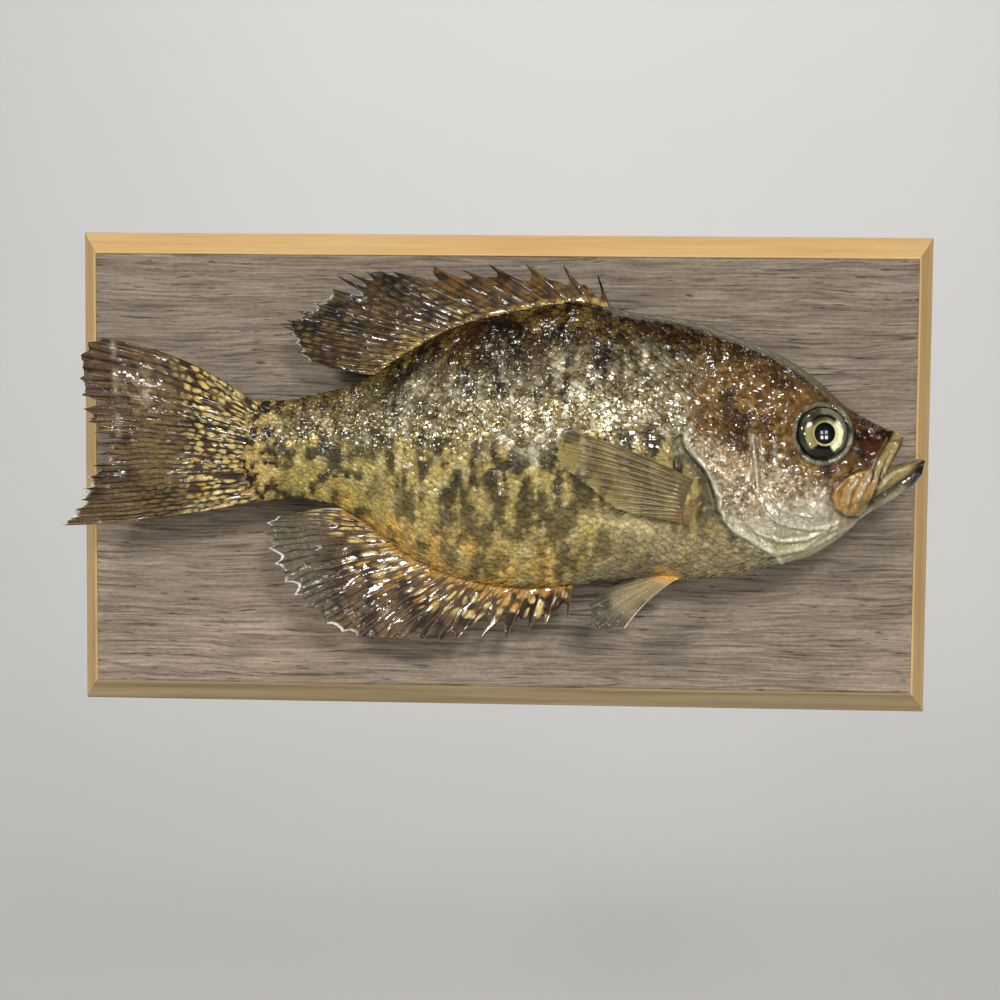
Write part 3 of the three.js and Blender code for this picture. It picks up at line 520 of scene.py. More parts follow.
def head_colour(points):
    """The head's paint: amber above, silvery pink cheek and gill cover, pale throat, dark snout and lips."""
    x, z = points[..., 0], points[..., 2]
    share = body_share(points) + 0.04 * noise(points, 7, 23)
    fine = layered_noise(points, 1.9, 51, 2)
    coarse = layered_noise(points, 6, 54)
    amber = layers(HEAD_AMBER,
                   (HEAD_GOLD, 0.7 * smooth_step(fine, 0.1, 0.6)),
                   (HEAD_DARK, smooth_step(coarse, 0.1, 0.8) * 0.75))
    dark = mix(HEAD_DARK, HEAD_AMBER, smooth_step(fine + coarse, 0.1, 1.0) * 0.8)
    speckle = smooth_step(layered_noise(points, 1.1, 57, 2), 0.15, 0.5)
    below = smooth_step(-6 - z + 0.25 * (x - 96), 0, 9) * smooth_step(126 - x, 0, 8)
    cheek = layers(CHEEK_SILVER,
                   (CHEEK_PINK, smooth_step(coarse, 0.0, 0.7)),
                   (HEAD_GOLD, smooth_step(fine, -0.1, 0.5) * 0.6),
                   (HEAD_AMBER, smooth_step(-fine - 0.3 * coarse, -0.1, 0.35) * 0.8),
                   (mix(HEAD_AMBER, HEAD_DARK, 0.6), 0.45 * speckle),
                   (mix(COVER_SILVER, CHEEK_PINK, smooth_step(coarse, 0.1, 0.9) * 0.5), 0.85 * below))
    throat = mix(THROAT_PALE, THROAT_GREEN, smooth_step(coarse, 0.0, 0.7) * 0.6)
    snout = smooth_step(x, 127, 133) * smooth_step(z + 0.8 * (x - 130), 6, 14)
    tip = smooth_step(x + 0.9 * (z - 14), 139, 146) * smooth_step(z, 15, 18)
    edge = before_gill_edge(x, z)
    rim = smooth_step(edge, -0.4, 0.4) * smooth_step(3.2 - edge, 0, 2.4)
    rim = rim * smooth_step(GILL_EDGE_TOP + 2 - z, 0, 4)
    tint = layers(throat,
                  (cheek, smooth_step(share, 0.12, 0.26)),
                  (amber, smooth_step(share + 0.003 * (x - 100), 0.42, 0.56)),
                  (dark, 0.8 * smooth_step(share - 0.003 * (x - 100), 0.84, 0.98)),
                  (mix(SNOUT_RUST, HEAD_DARK, smooth_step(coarse, -0.3, 0.5)), snout),
                  (mix(HEAD_DARK, SNOUT_GREY, smooth_step(fine, 0, 0.6)), tip),
                  (COVER_EDGE, 0.85 * rim))
    for fold, strength in HEAD_LINES:
        distance, signed = line_distance(x, z, fold)
        # painted highlight: pale on each fold's crest; painted shade: darker in the groove beside it
        tint = layers(tint,
                      (mix(CHEEK_SILVER, COVER_EDGE, 0.6), strength * bell(distance, 0.9)),
                      (HEAD_AMBER, 0.5 * strength * bell(signed - 1.5, 0.6) * (distance < 3)))
    tint = orbit_colour(points, mouth_colour(points, fine, coarse, tint))
    return mix(tint, ORBIT_LINE, bell(from_eye(x, z) - EYE_RADIUS, 0.5))


def mouth_colour(points, fine, coarse, tint):
    """The maxilla's amber plate with pale painted highlights along its glint ridges, the lips with painted
    shade in their groove and gape, and the lower jaw with a painted highlight along its lip and its dark tip.
    """
    x, z = points[..., 0], points[..., 2]
    plate = depth_inside(x, z, MAXILLA)
    on_plate = mix(MAXILLA_AMBER, mix(LIP_OLIVE, HEAD_GOLD, 0.5), smooth_step(z + 0.4 * (x - 130), -2, 9))
    on_plate = mix(on_plate, HEAD_AMBER, 0.6 * smooth_step(fine, -0.1, 0.6))
    tint = mix(tint, on_plate, smooth_step(plate, -0.3, 0.5))
    # painted highlight: pale streaks along the maxilla's glint ridges
    for glint in MAXILLA_GLINTS:
        tint = mix(tint, THROAT_PALE, 0.75 * near_line(x, z, glint, 0.8))
    lip = line_distance(x, z, GAPE_EDGE)[0]
    jaw = smooth_step(line_distance(x, z, JAW_BACK)[1] + 0.3 * (x - 140), -1, 1)
    jaw = jaw * smooth_step(x - 0.9 * z, 136, 139)
    on_jaw = layers(JAW_OLIVE,
                    (THROAT_PALE, smooth_step(-z + 0.75 * (x - 140), 5, 9)),
                    (HEAD_AMBER, 0.5 * smooth_step(coarse, 0.1, 0.7)))
    return layers(tint,
                  (LIP_OLIVE, smooth_step(5 - lip, 0, 1.5) * smooth_step(x, 138, 141) * (z > 0)),
                  # painted shade: dark in the groove between lip and maxilla, and along the gape where the
                  # lips part
                  (HEAD_DARK, 0.9 * near_line(x, z, LIP_GROOVE, 0.6)),
                  (HEAD_DARK, 0.85 * bell(lip, 0.7)),
                  (on_jaw, jaw),
                  (JAW_TIP, jaw * smooth_step(x + 0.5 * fine - 0.4 * z, 149, 153)),
                  (HEAD_DARK, 0.8 * jaw * near_line(x, z, JAW_LOWER_LINE, 1.2, 0.4)),
                  # painted highlight: a pale line along the lower lip's edge
                  (LIP_HIGHLIGHT, 0.85 * jaw * near_line(x, z, JAW_EDGE, 0.7, 1.1) * (x < 152)),
                  # painted shade: a dark line in the groove under the maxilla's lower edge
                  (HEAD_DARK, 0.8 * bell(plate + 0.5, 0.5) * (z < 6)))


def orbit_colour(points, tint):
    """The nostrils with painted shade in their pits, and the grey ring of skin around the eye, painted to
    show most on its lit front and lower side.
    """
    x, z = points[..., 0], points[..., 2]
    for hole_x, hole_z, radius in NOSTRILS:
        away = np.hypot(x - hole_x, z - hole_z)
        tint = layers(tint,
                      (NOSTRIL_RIM, 0.6 * bell(away - 1.5 * radius, 0.5)),
                      # painted shade: black in each nostril's pit
                      (NOSTRIL_HOLE, bell(away, 0.8 * radius)))
    away = from_eye(x, z)
    ring = mix(ORBIT_GREY, ORBIT_DARK, patches(points, 4, 71, 0, 0.8))
    # painted light: the ring shows most towards the front and below, where it is lit, and fades behind and
    # above
    lit = 0.6 + 0.4 * smooth_step(x - EYE_X - 0.5 * (z - EYE_Z), -8, 4)
    return mix(tint, ring, np.maximum(smooth_step(11.9 - away, 0, 1.0) * lit, away < 10.2))


def silver(points):
    """How metallic the paint is: silver on the upper flank, the stalk and the cheek, little below."""
    x, z = points[..., 0], points[..., 2]
    share = body_share(points) + 0.06 * noise(points, 9, 81)
    flecks = patches(points, 3.4, 83, -0.5, 0.5)
    band = smooth_step(z + 2.5 * noise(points, 7, 82), 10, 16) * (1 - 0.9 * smooth_step(share, 0.58, 0.8))
    flank = (0.05 + 0.74 * band) * (1 - 0.75 * smooth_step(x - 0.6 * z, 24, 44))
    flank = flank * (1 + 0.1 * smooth_step(-44 - x, 0, 20)) * (1 - 0.8 * smooth_step(-76 - x, 0, 10))
    head = 0.06 + 0.42 * smooth_step(share, 0.04, 0.12) * (1 - smooth_step(share, 0.48, 0.62))
    head = head * smooth_step(136 - x, 0, 8)
    edge = before_gill_edge(x, z)
    flecked = mix(flank, head, smooth_step(edge, -3, 3)) * (0.35 + 0.65 * flecks)
    return flecked * (1 - 0.9 * on_crest(x, z))


def lumpiness(x, z):
    """How broken the varnish is: in small faces on the head's scaly skin, smoother on its bones and folds."""
    smooth = np.maximum.reduce([smooth_step(depth_inside(x, z, MAXILLA), -1.5, 0.5),
                                smooth_step(x, 139, 142),
                                smooth_step(-14 - z + 0.2 * (x - 96), 0, 6) * smooth_step(x, 78, 84)])
    return (1 - 0.72 * smooth) * (1 - 0.8 * on_crest(x, z))


def varnish(points):
    """Weight of the varnish on the skin and scales: thick on the upper flank and the head, thin elsewhere."""
    x, z = points[..., 0], points[..., 2]
    spots = 0.5 + 0.5 * noise(points, 6, 85)
    upper = smooth_step(z + 2 * noise(points, 8, 86), 9, 15)
    upper = upper * (1 - 0.84 * smooth_step(body_share(points) + 0.08 * noise(points, 9, 88), 0.6, 0.8))
    head = smooth_step(before_gill_edge(x, z), -2, 2)
    weight = mix(0.16 + 0.3 * spots**3, 1.0, np.maximum(upper, head))
    return np.clip(weight * (1 - 0.85 * on_crest(x, z)), 0, 1)


def shoulder_colour(points, tint):
    """The hollow behind the gill cover, the paired fins' orange roots, and the lateral line."""
    x, z = points[..., 0], points[..., 2]
    edge = before_gill_edge(x, z)
    hollow = smooth_step(6.5 + edge, 0, 4) * smooth_step(22 - z, 0, 8) * smooth_step(z, -16, -10)
    root = fin_root_distance(x, z, PECTORAL_FEET, (2, 3), (1, 1))
    pelvic = fin_root_distance(x, z, PELVIC_FEET, (0, 1.4), (-1, 1.2))
    line = near_line(x, z, LATERAL_LINE, 0.5)
    return layers(tint,
                  (mix(HOLLOW_GREY, THROAT_PALE, patches(points, 2.2, 73, 0.1, 0.9) * 0.5), hollow),
                  (ROOT_ORANGE, 0.8 * smooth_step(3.6 - root, 0, 3) * smooth_step(-4 - z, 0, 4)),
                  (FIN_ORANGE, 0.6 * smooth_step(4 - pelvic, 0, 3)),
                  (BACK_DARK, 0.55 * line * patches(points, 3, 75, -0.6, 0.2)))


def markings(points):
    """The paint of skin and scales at any points."""
    x, z = points[..., 0], points[..., 2]
    softness = 0.3 + 12 * smooth_step(z, GILL_EDGE_TOP, GILL_EDGE_TOP + 14)
    below = below_crest(x, z)
    return layers(shoulder_colour(points, flank_colour(points)),
                  (head_colour(points), smooth_step(before_gill_edge(x, z), -softness, softness)),
                  (BACK_DARK, 0.6 * on_crest(x, z, 2) * bell(below - CREST_DEPTH - 0.5, 0.8)),
                  # the bare strip along the nape painted grey: its own colour and partly a painted grazing
                  # highlight
                  (CREST_GREY_SHEEN, (0.72 + 0.2 * noise(points, (5, 4, 5), 89)) * on_crest(x, z)))


def below_crest(x, z):
    """Millimetres below the back's outline, square to it."""
    slope = (along_body(x + 1, TOP) - along_body(x - 1, TOP)) / 2
    return (along_body(x, TOP) - z) / np.hypot(1, slope)


def on_crest(x, z, deeper=0):
    """1 on the strip of bare translucent skin along the nape, or on one that much deeper. The strip's grey
    paint is partly a painted grazing highlight.
    """
    below = below_crest(x, z) - deeper
    return smooth_step(CREST_DEPTH - below, 0, 0.8) * smooth_step(x, 36, 46) * smooth_step(128 - x, 0, 8)


# ---------------------------------------------------------------- meshes

def link_object(name, data):
    piece = bpy.data.objects.new(name, data)
    bpy.context.scene.collection.objects.link(piece)
    return piece


def make_object(name, points, faces, material, colours, uv=None):
    """A mesh object from points in millimetres and rows of faces. faces is a list of integer arrays, one for
    each number of corners. colours is one linear colour for each point, uv one pair for each point."""
    mesh = bpy.data.meshes.new(name)
    mesh.vertices.add(len(points))
    move_vertices(mesh, points)
    loops = np.concatenate([part.ravel() for part in faces])
    sizes = np.concatenate([np.full(len(part), part.shape[1]) for part in faces])
    mesh.loops.add(len(loops))
    mesh.loops.foreach_set("vertex_index", loops.astype(np.int32))
    mesh.polygons.add(len(sizes))
    mesh.polygons.foreach_set("loop_start", np.concatenate([[0], np.cumsum(sizes)[:-1]]).astype(np.int32))
    shade_smooth(mesh)
    mesh.update(calc_edges=True)
    mesh.validate()
    if uv is not None:
        layer = mesh.uv_layers.new(name="OFBake")
        layer.data.foreach_set("uv", np.asarray(uv)[loops].astype(np.float32).ravel())
    set_colours(mesh, colours)
    mesh.materials.append(material)
    piece = link_object(name, mesh)
    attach(piece, "root")
    return piece


def shade_smooth(mesh):
    mesh.polygons.foreach_set("use_smooth", np.ones(len(mesh.polygons), bool))


def move_vertices(mesh, points):
    mesh.vertices.foreach_set("co", (np.asarray(points) * MM).astype(np.float32).ravel())


def vertex_rows(mesh, key):
    """The vertices' places, or normals, as rows of X, Y and Z."""
    values = np.empty(len(mesh.vertices) * 3, np.float32)
    mesh.vertices.foreach_get(key, values)
    return values.reshape(-1, 3).astype(float)


def set_colours(mesh, colours):
    layer = mesh.color_attributes.new("tint", "FLOAT_COLOR", "POINT")
    full = np.ones((len(colours), 4), np.float32)
    full[:, :3] = np.clip(colours, 0, 1)
    layer.data.foreach_set("color", full.ravel())


def set_values(mesh, name, values):
    mesh.attributes.new(name, "FLOAT", "POINT").data.foreach_set("value", np.asarray(values, np.float32))


def grid_faces(columns, rows):
    """Quads between the points of a grid that is stored column by column."""
    here = np.arange(columns - 1)[:, None] * rows
    row = np.arange(rows - 1)[None]
    corners = [here + row, here + rows + row, here + rows + row + 1, here + row + 1]
    return np.stack(corners, axis=-1).reshape(-1, 4)


def grid_edge(columns, rows):
    """The outline of such a grid, once round."""
    first = np.arange(rows - 1)
    top = np.arange(columns - 1) * rows + rows - 1
    last = (columns - 1) * rows + np.arange(rows - 1, 0, -1)
    foot = np.arange(columns - 1, 0, -1) * rows
    return np.concatenate([first, top, last, foot])


def ring_faces(rings, around):
    """Quads between closed rings of points that are stored ring by ring."""
    here = np.arange(rings - 1)[:, None] * around
    j = np.arange(around)[None]
    k = (j + 1) % around
    return np.stack([here + j, here + k, here + around + k, here + around + j], axis=-1).reshape(-1, 4)


def solid(name, points, faces):
    """A closed mesh as an object without a material, from points in millimetres, faces turned outwards."""
    mesh = bpy.data.meshes.new(name)
    mesh.from_pydata((np.asarray(points) * MM).tolist(), [], faces)
    mesh.update()
    work = bmesh.new()
    work.from_mesh(mesh)
    bmesh.ops.recalc_face_normals(work, faces=work.faces)
    work.to_mesh(mesh)
    work.free()
    return link_object(name, mesh)


def lofted(name, rings):
    """The solid between closed rings of points, with flat ends."""
    number, around = rings.shape[:2]
    ends = [list(range(around)), list(range((number - 1) * around, number * around))]
    return solid(name, rings.reshape(-1, 3), ring_faces(number, around).tolist() + ends)


def prism(name, outline, near=-120.0, far=0.0):
    """A cutter: an outline in X and Z that runs along Y."""
    return lofted(name, np.array([[(x, y, z) for x, z in outline] for y in (near, far)]))


def boolean(target, tool, operation):
    modifier = target.modifiers.new(operation.lower(), "BOOLEAN")
    modifier.operation = operation
    modifier.solver = "MANIFOLD"
    modifier.object = tool


def apply_modifiers(target):
    """Puts the result of an object's modifiers into its own mesh."""
    bpy.context.view_layer.update()
    evaluated = target.evaluated_get(bpy.context.evaluated_depsgraph_get())
    mesh = bpy.data.meshes.new_from_object(evaluated)
    target.modifiers.clear()
    target.data = mesh
    return mesh


def body_loft(name, start, end, around, grow):
    """The closed body between two places, in steps of 1 mm."""
    stations = np.linspace(start, end, round(end - start) + 1)
    half = np.linspace(-math.pi / 2, math.pi / 2, around // 2 + 1)
    places = np.meshgrid(stations, half, indexing="ij")
    right, left = (body_point(*places, side, grow) for side in (RIGHT, LEFT))
    return lofted(name, np.concatenate([right, left[:, -2:0:-1]], axis=1))


# ---------------------------------------------------------------- materials

WOOD_BANDS = [(0.3, colour(124, 112, 98)), (0.5, colour(140, 127, 112)), (0.7, colour(152, 139, 123))]
WOOD_STAINS = [(0.35, colour(116, 108, 98)), (0.65, colour(140, 118, 98))]
STEEL_DARK, STEEL_LIGHT = colour(128, 126, 120), colour(176, 174, 168)


def is_link(value):
    return isinstance(value, tuple) and len(value) == 2 and hasattr(value[0], "outputs")


class Shader:
    """A material whose nodes are added by short calls. A value in sockets may be a number, a colour, or a
    (node, output) pair to join to."""

    def __init__(self, name):
        self.material = bpy.data.materials.new(name)
        self.material.use_nodes = True
        self.tree = self.material.node_tree
        self.surface = self.tree.nodes["Principled BSDF"]

    def add(self, kind, settings=None, **sockets):
        node = self.tree.nodes.new("ShaderNode" + kind)
        for key, value in (settings or {}).items():
            setattr(node, key, value)
        self.fill(node, sockets)
        return node

    def fill(self, node, sockets):
        for key, value in sockets.items():
            place = int(key[1:]) if key[0] == "n" and key[1:].isdigit() else key.replace("_", " ")
            if is_link(value):
                self.tree.links.new(value[0].outputs[value[1]], node.inputs[place])
            else:
                node.inputs[place].default_value = value

    def set(self, **sockets):
        self.fill(self.surface, sockets)

    def ramp(self, source, stops):
        node = self.add("ValToRGB", Fac=source)
        ramp = node.color_ramp
        while len(ramp.elements) < len(stops):
            ramp.elements.new(0.5)
        for element, (place, value) in zip(ramp.elements, stops):
            element.position = place
            element.color = (*value, 1) if np.ndim(value) else (value, value, value, 1)
        return (node, "Color")

    def attribute(self, name, output="Fac"):
        return (self.add("Attribute", {"attribute_name": name}), output)

    def map_range(self, value, low, high, to_low, to_high):
        return (self.add("MapRange", Value=value, n1=low, n2=high, n3=to_low, n4=to_high), 0)

    def math(self, operation, a, b):
        return (self.add("Math", {"operation": operation}, n0=a, n1=b), 0)

    def vector(self, operation, *values, output=0):
        sockets = {f"n{place}": value for place, value in enumerate(values)}
        return (self.add("VectorMath", {"operation": operation}, **sockets), output)

    def mix_colour(self, a, b, factor, blend="MIX"):
        a, b = (value if is_link(value) else (*value, 1) for value in (a, b))
        return (self.add("Mix", {"data_type": "RGBA", "blend_type": blend}, n0=factor, n6=a, n7=b), 2)

    def multiply(self, shade, *others):
        for other in others:
            shade = self.mix_colour(shade, other, 1.0, "MULTIPLY")
        return shade

    def noise(self, scale, detail, vector, distortion=0.0):
        return (self.add("TexNoise", Scale=scale, Detail=detail, Distortion=distortion, Vector=vector), 0)

    def bump(self, height, strength, distance, under=None):
        sockets = {"Normal": under} if under else {}
        return (self.add("Bump", Strength=strength, Distance=distance, Height=height, **sockets), 0)

    def facets(self, size, slope, strength):
        """The height of a surface broken into little tilted faces about size across, in metres."""
        place = self.place()
        wander = self.add("TexNoise", Vector=place, Scale=0.6 / size, Detail=1.0)
        shift = self.vector("MULTIPLY_ADD", (wander, "Color"), (size,) * 3, place)
        cells = self.add("TexVoronoi", Vector=shift, Scale=1 / size)
        tilt = self.vector("SUBTRACT", (cells, "Color"), (0.5, 0.5, 0.5))
        off = self.vector("SUBTRACT", shift, (cells, "Position"))
        rise = self.vector("DOT_PRODUCT", tilt, off, output="Value")
        return self.math("MULTIPLY", self.math("MULTIPLY", rise, 2 * slope), strength)

    def place(self):
        return (self.add("TexCoord"), "Object")

    def stretched(self, scale):
        return (self.add("Mapping", Vector=self.place(), Scale=scale), 0)


def lacquered(name, roughness, lumps, height, speck, silvery=True, coat="gloss", facets=None):
    """Painted skin under glossy varnish. lumps is the size of the varnish's lumps in X, Y and Z, and height
    how far they stand out, in metres. speck is how strongly fine pigment breaks up the colour. coat is the
    varnish's weight, or the name of the attribute that holds it. facets is the size and the slope of the
    little tilted faces that the surface is broken into."""
    s = Shader(name)
    tint = s.attribute("tint", "Color")
    place = s.place()
    pigment = s.ramp(s.noise(900.0, 3.0, place), [(0.34, 1 - speck), (0.5, 1.0), (0.66, 1 + speck)])
    s.set(Base_Color=s.multiply(tint, pigment))
    rough = s.map_range(s.noise(260.0, 2.0, place), 0.35, 0.65, roughness * 0.75, roughness * 1.3)
    coat = s.attribute(coat) if isinstance(coat, str) else coat
    s.set(Roughness=rough, Coat_Weight=coat, Coat_Roughness=0.06, Specular_IOR_Level=0.15)
    if silvery:
        s.set(Metallic=s.attribute("silver"))
    broad = s.bump(s.noise(1.0, 1.5, s.stretched(tuple(1 / size for size in lumps))), 0.7, height)
    if facets:
        lumpy = s.attribute("lumpy")
        broad = s.bump(s.facets(*facets, lumpy), 1.0, 1.0, broad)
    fine = s.bump(s.noise(2200.0, 2.0, place), 0.3, height * 0.25, broad)
    s.set(Normal=fine, Coat_Normal=broad)
    return s.material


def eye_material():
    s = Shader("painted_glass")
    s.set(Base_Color=s.attribute("tint", "Color"), Roughness=0.2, Specular_IOR_Level=0.1)
    s.set(Coat_Weight=1.0, Coat_Roughness=0.01, Coat_IOR=1.45)
    s.set(Normal=s.bump(s.noise(300.0, 1.0, s.place()), 0.04, 0.0004))
    return s.material


def weathered_wood():
    """Grey barn board: fine grain along X, with short dark checks and pale raised fibres."""
    s = Shader("weathered_wood")
    bend = s.noise(16.0, 3.0, s.stretched((1.0, 1.0, 2.6)))
    shift = s.add("CombineXYZ", Z=s.math("MULTIPLY", bend, 0.008))
    moved = s.vector("ADD", s.place(), (shift, 0))

    def grained(along, across, detail):
        return s.noise(1.0, detail, (s.add("Mapping", Vector=moved, Scale=(along, across / 2, across)), 0))

    bands = s.ramp(grained(16.0, 300.0, 3.0), WOOD_BANDS)
    stain = s.ramp(s.noise(7.0, 3.0, s.stretched((0.6, 1.0, 1.6))), WOOD_STAINS)
    warm = s.mix_colour(bands, stain, 0.25)
    fibres = grained(46.0, 1150.0, 5.0)
    tone = s.ramp(fibres, [(0.3, 0.5), (0.42, 0.86), (0.5, 1.0), (0.68, 1.36)])
    checks = s.ramp(grained(120.0, 1050.0, 2.0), [(0.26, 0.3), (0.32, 0.66), (0.37, 1.0)])
    furrows = s.ramp(grained(24.0, 760.0, 2.0), [(0.28, 0.45), (0.34, 0.8), (0.39, 1.0)])
    darker = s.ramp(s.attribute("groove"), [(0.0, 1.05), (0.4, 1.0), (1.0, 0.62)])
    mottle = s.ramp(s.noise(420.0, 2.0, s.stretched((1.0, 1.0, 1.8))), [(0.35, 0.9), (0.65, 1.09)])
    shade = s.multiply(warm, tone, darker, mottle, furrows)
    height = (s.add("SeparateXYZ", Vector=s.place()), "Z")
    # painted light: the board a little lighter towards its bottom and darker towards its top
    light_by_height = s.map_range(height, -0.08, 0.08, 1.14, 0.9)
    s.set(Base_Color=s.multiply(shade, light_by_height, checks), Roughness=0.82, Specular_IOR_Level=0.3)
    s.set(Normal=s.bump(checks, 0.6, 0.0003, s.bump(fibres, 0.5, 0.0003)))
    return s.material


def edge_wood(name, along, light, dark):
    """Satin pine moulding with its faint grain along one axis of the plaque."""
    s = Shader(name)
    scale = (9.0, 160.0, 260.0) if along == "X" else (260.0, 160.0, 9.0)
    grain = s.noise(1.0, 4.0, s.stretched(scale), 0.6)
    fine = s.noise(4.0, 3.0, s.stretched(scale), 0.2)
    base = s.ramp(grain, [(0.3, dark), (0.5, mix(dark, light, 0.6)), (0.7, light)])
    tone = s.ramp(fine, [(0.3, 0.93), (0.7, 1.05)])
    s.set(Base_Color=s.multiply(base, tone), Roughness=0.45, Coat_Weight=0.2)
    s.set(Coat_Roughness=0.3, Normal=s.bump(fine, 0.25, 0.0002))
    return s.material


def steel():
    s = Shader("hanger_steel")
    scratches = s.noise(1.0, 4.0, s.stretched((90.0, 900.0, 1600.0)))
    s.set(Base_Color=s.ramp(scratches, [(0.3, STEEL_DARK), (0.7, STEEL_LIGHT)]), Metallic=0.9)
    s.set(Roughness=s.ramp(scratches, [(0.3, 0.3), (0.7, 0.48)]), Normal=s.bump(scratches, 0.2, 0.0001))
    return s.material


SKIN = lacquered("lacquered_skin", 0.34, (0.0026, 0.0026, 0.002), 0.00035, 0.25, facets=(0.0027, 0.4))
SCALE = lacquered("lacquered_scales", 0.25, (0.0011, 0.002, 0.003), 0.00022, 0.3)
CHEEK_SCALE = lacquered("lacquered_cheek", 0.3, (0.002, 0.002, 0.0018), 0.0003, 0.3, facets=(0.0026, 0.5))
FIN = lacquered("lacquered_fins", 0.45, (0.0016, 0.0016, 0.0012), 0.00006, 0.25, False, facets=(0.003, 0.06))
SOFT_FIN = lacquered("soft_fins", 0.5, (0.004, 0.004, 0.0015), 0.0003, 0.15, False, coat=0.28)
EYE = eye_material()


# ---------------------------------------------------------------- the skin

GAPE = [(140.1, 0.3), (145.7, 5.5), (152, 7.7), (156.4, 9.2), (170, 9.6), (170, 24), (151.5, 20),
        (149.6, 15.6), (145.6, 9), (141.9, 2.6)]
MOUTH_HOLLOW = [(138, -3.4), (146, -0.6), (154.6, 5.6), (154, 16), (145.6, 16), (138, 3.4)]
LIP_THICKNESS = 2.0
LOFT_INSET = 0.2  # of the skin's first form; under the scales it is drawn in further, to SKIN_INSET


def fish_skin():
    """One closed skin from the tail's root to the lips, with its mouth open."""
    skin = body_loft("fish_skin", TAIL_END, SNOUT_END, 240, -LOFT_INSET)
    hollow = body_loft("mouth_hollow", 132, 155, 96, -LIP_THICKNESS)
    room = prism("mouth_room", MOUTH_HOLLOW)
    gape = prism("gape", GAPE)
    boolean(hollow, room, "INTERSECT")
    apply_modifiers(hollow)
    boolean(skin, gape, "DIFFERENCE")
    boolean(skin, hollow, "DIFFERENCE")
    apply_modifiers(skin)
    remesh = skin.modifiers.new("remesh", "REMESH")
    remesh.mode = "VOXEL"
    remesh.voxel_size = VOXEL * MM
    remesh.adaptivity = 0.0
    mesh = apply_modifiers(skin)
    for tool in (hollow, room, gape):
        bpy.data.objects.remove(tool)
    carve_skin(mesh)
    mesh.materials.clear()
    mesh.materials.append(SKIN)
    shade_smooth(mesh)
    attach(skin, "root")
    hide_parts("trunk", "tail_stalk", "head", "gill_cover_right", "gill_cover_left", "upper_jaw",
                "lower_jaw")


def carve_skin(mesh):
    """Moves the skin's points along their normals by the relief, and colours them."""
    points, normals = vertex_rows(mesh, "co") / MM, vertex_rows(mesh, "normal")
    x, z = points[:, 0], points[:, 2]
    off_middle = np.abs(points[:, 1] - middle_at(x))
    inside = smooth_step(half_width(x, z) - off_middle, 2.6, 3.4) * smooth_step(x, 134, 136)
    inside = inside * smooth_step(depth_inside(x, z, MOUTH_HOLLOW), -1.4, -0.2)
    facing = smooth_step(np.abs(normals[:, 1]), 0.12, 0.4) * (1 - inside)
    under_scales = smooth_step(-before_gill_edge(x, z), 0, 2)
    inset = (SKIN_INSET - LOFT_INSET) * under_scales * (1 - bare(x, z))
    points += normals * (relief_at(points) * facing - inset)[:, None]
    move_vertices(mesh, points)
    set_colours(mesh, mix(markings(points), MOUTH_LINING, inside))
    set_values(mesh, "silver", silver(points) * (1 - inside))
    set_values(mesh, "lumpy", lumpiness(x, z))
    set_values(mesh, "gloss", varnish(points))
    mesh.update()


# ---------------------------------------------------------------- scales

UNWRAP_LENGTH, UNWRAP_GIRTH = 262.0, 300.0  # millimetres of skin across the whole OFBake map
PATCH = 0.003  # a scale's share of the map's width
# A scale's plan and section, from its root to its free edge: how far along it, how wide, how high.
SCALE_ALONG = np.array([0.0, 0.3, 0.56, 0.76, 0.9, 1.0])
SCALE_REACH = np.array([0.72, 0.92, 1.0, 0.94, 0.74, 0.36])
SCALE_HEIGHT = [-0.9, 0.0, 0.62, 0.9, 1.02, 0.84]
SCALE_ACROSS = np.array([-1.0, -0.55, 0.0, 0.55, 1.0])
SCALE_MIDDLE = 14  # the point near the middle that gives the scale its overall colour
TRUNK_LENGTH, TRUNK_HEIGHT = 1.7, 1.12  # of a scale, as shares of the space between the roots
CHEEK_LENGTH, CHEEK_HEIGHT, CHEEK_LIFT = 1.5, 1.08, 0.26
TRUNK_PARTS = {"tail": (-100, -30), "middle": (-30, 40), "shoulder": (40, 120)}  # from and to, in X


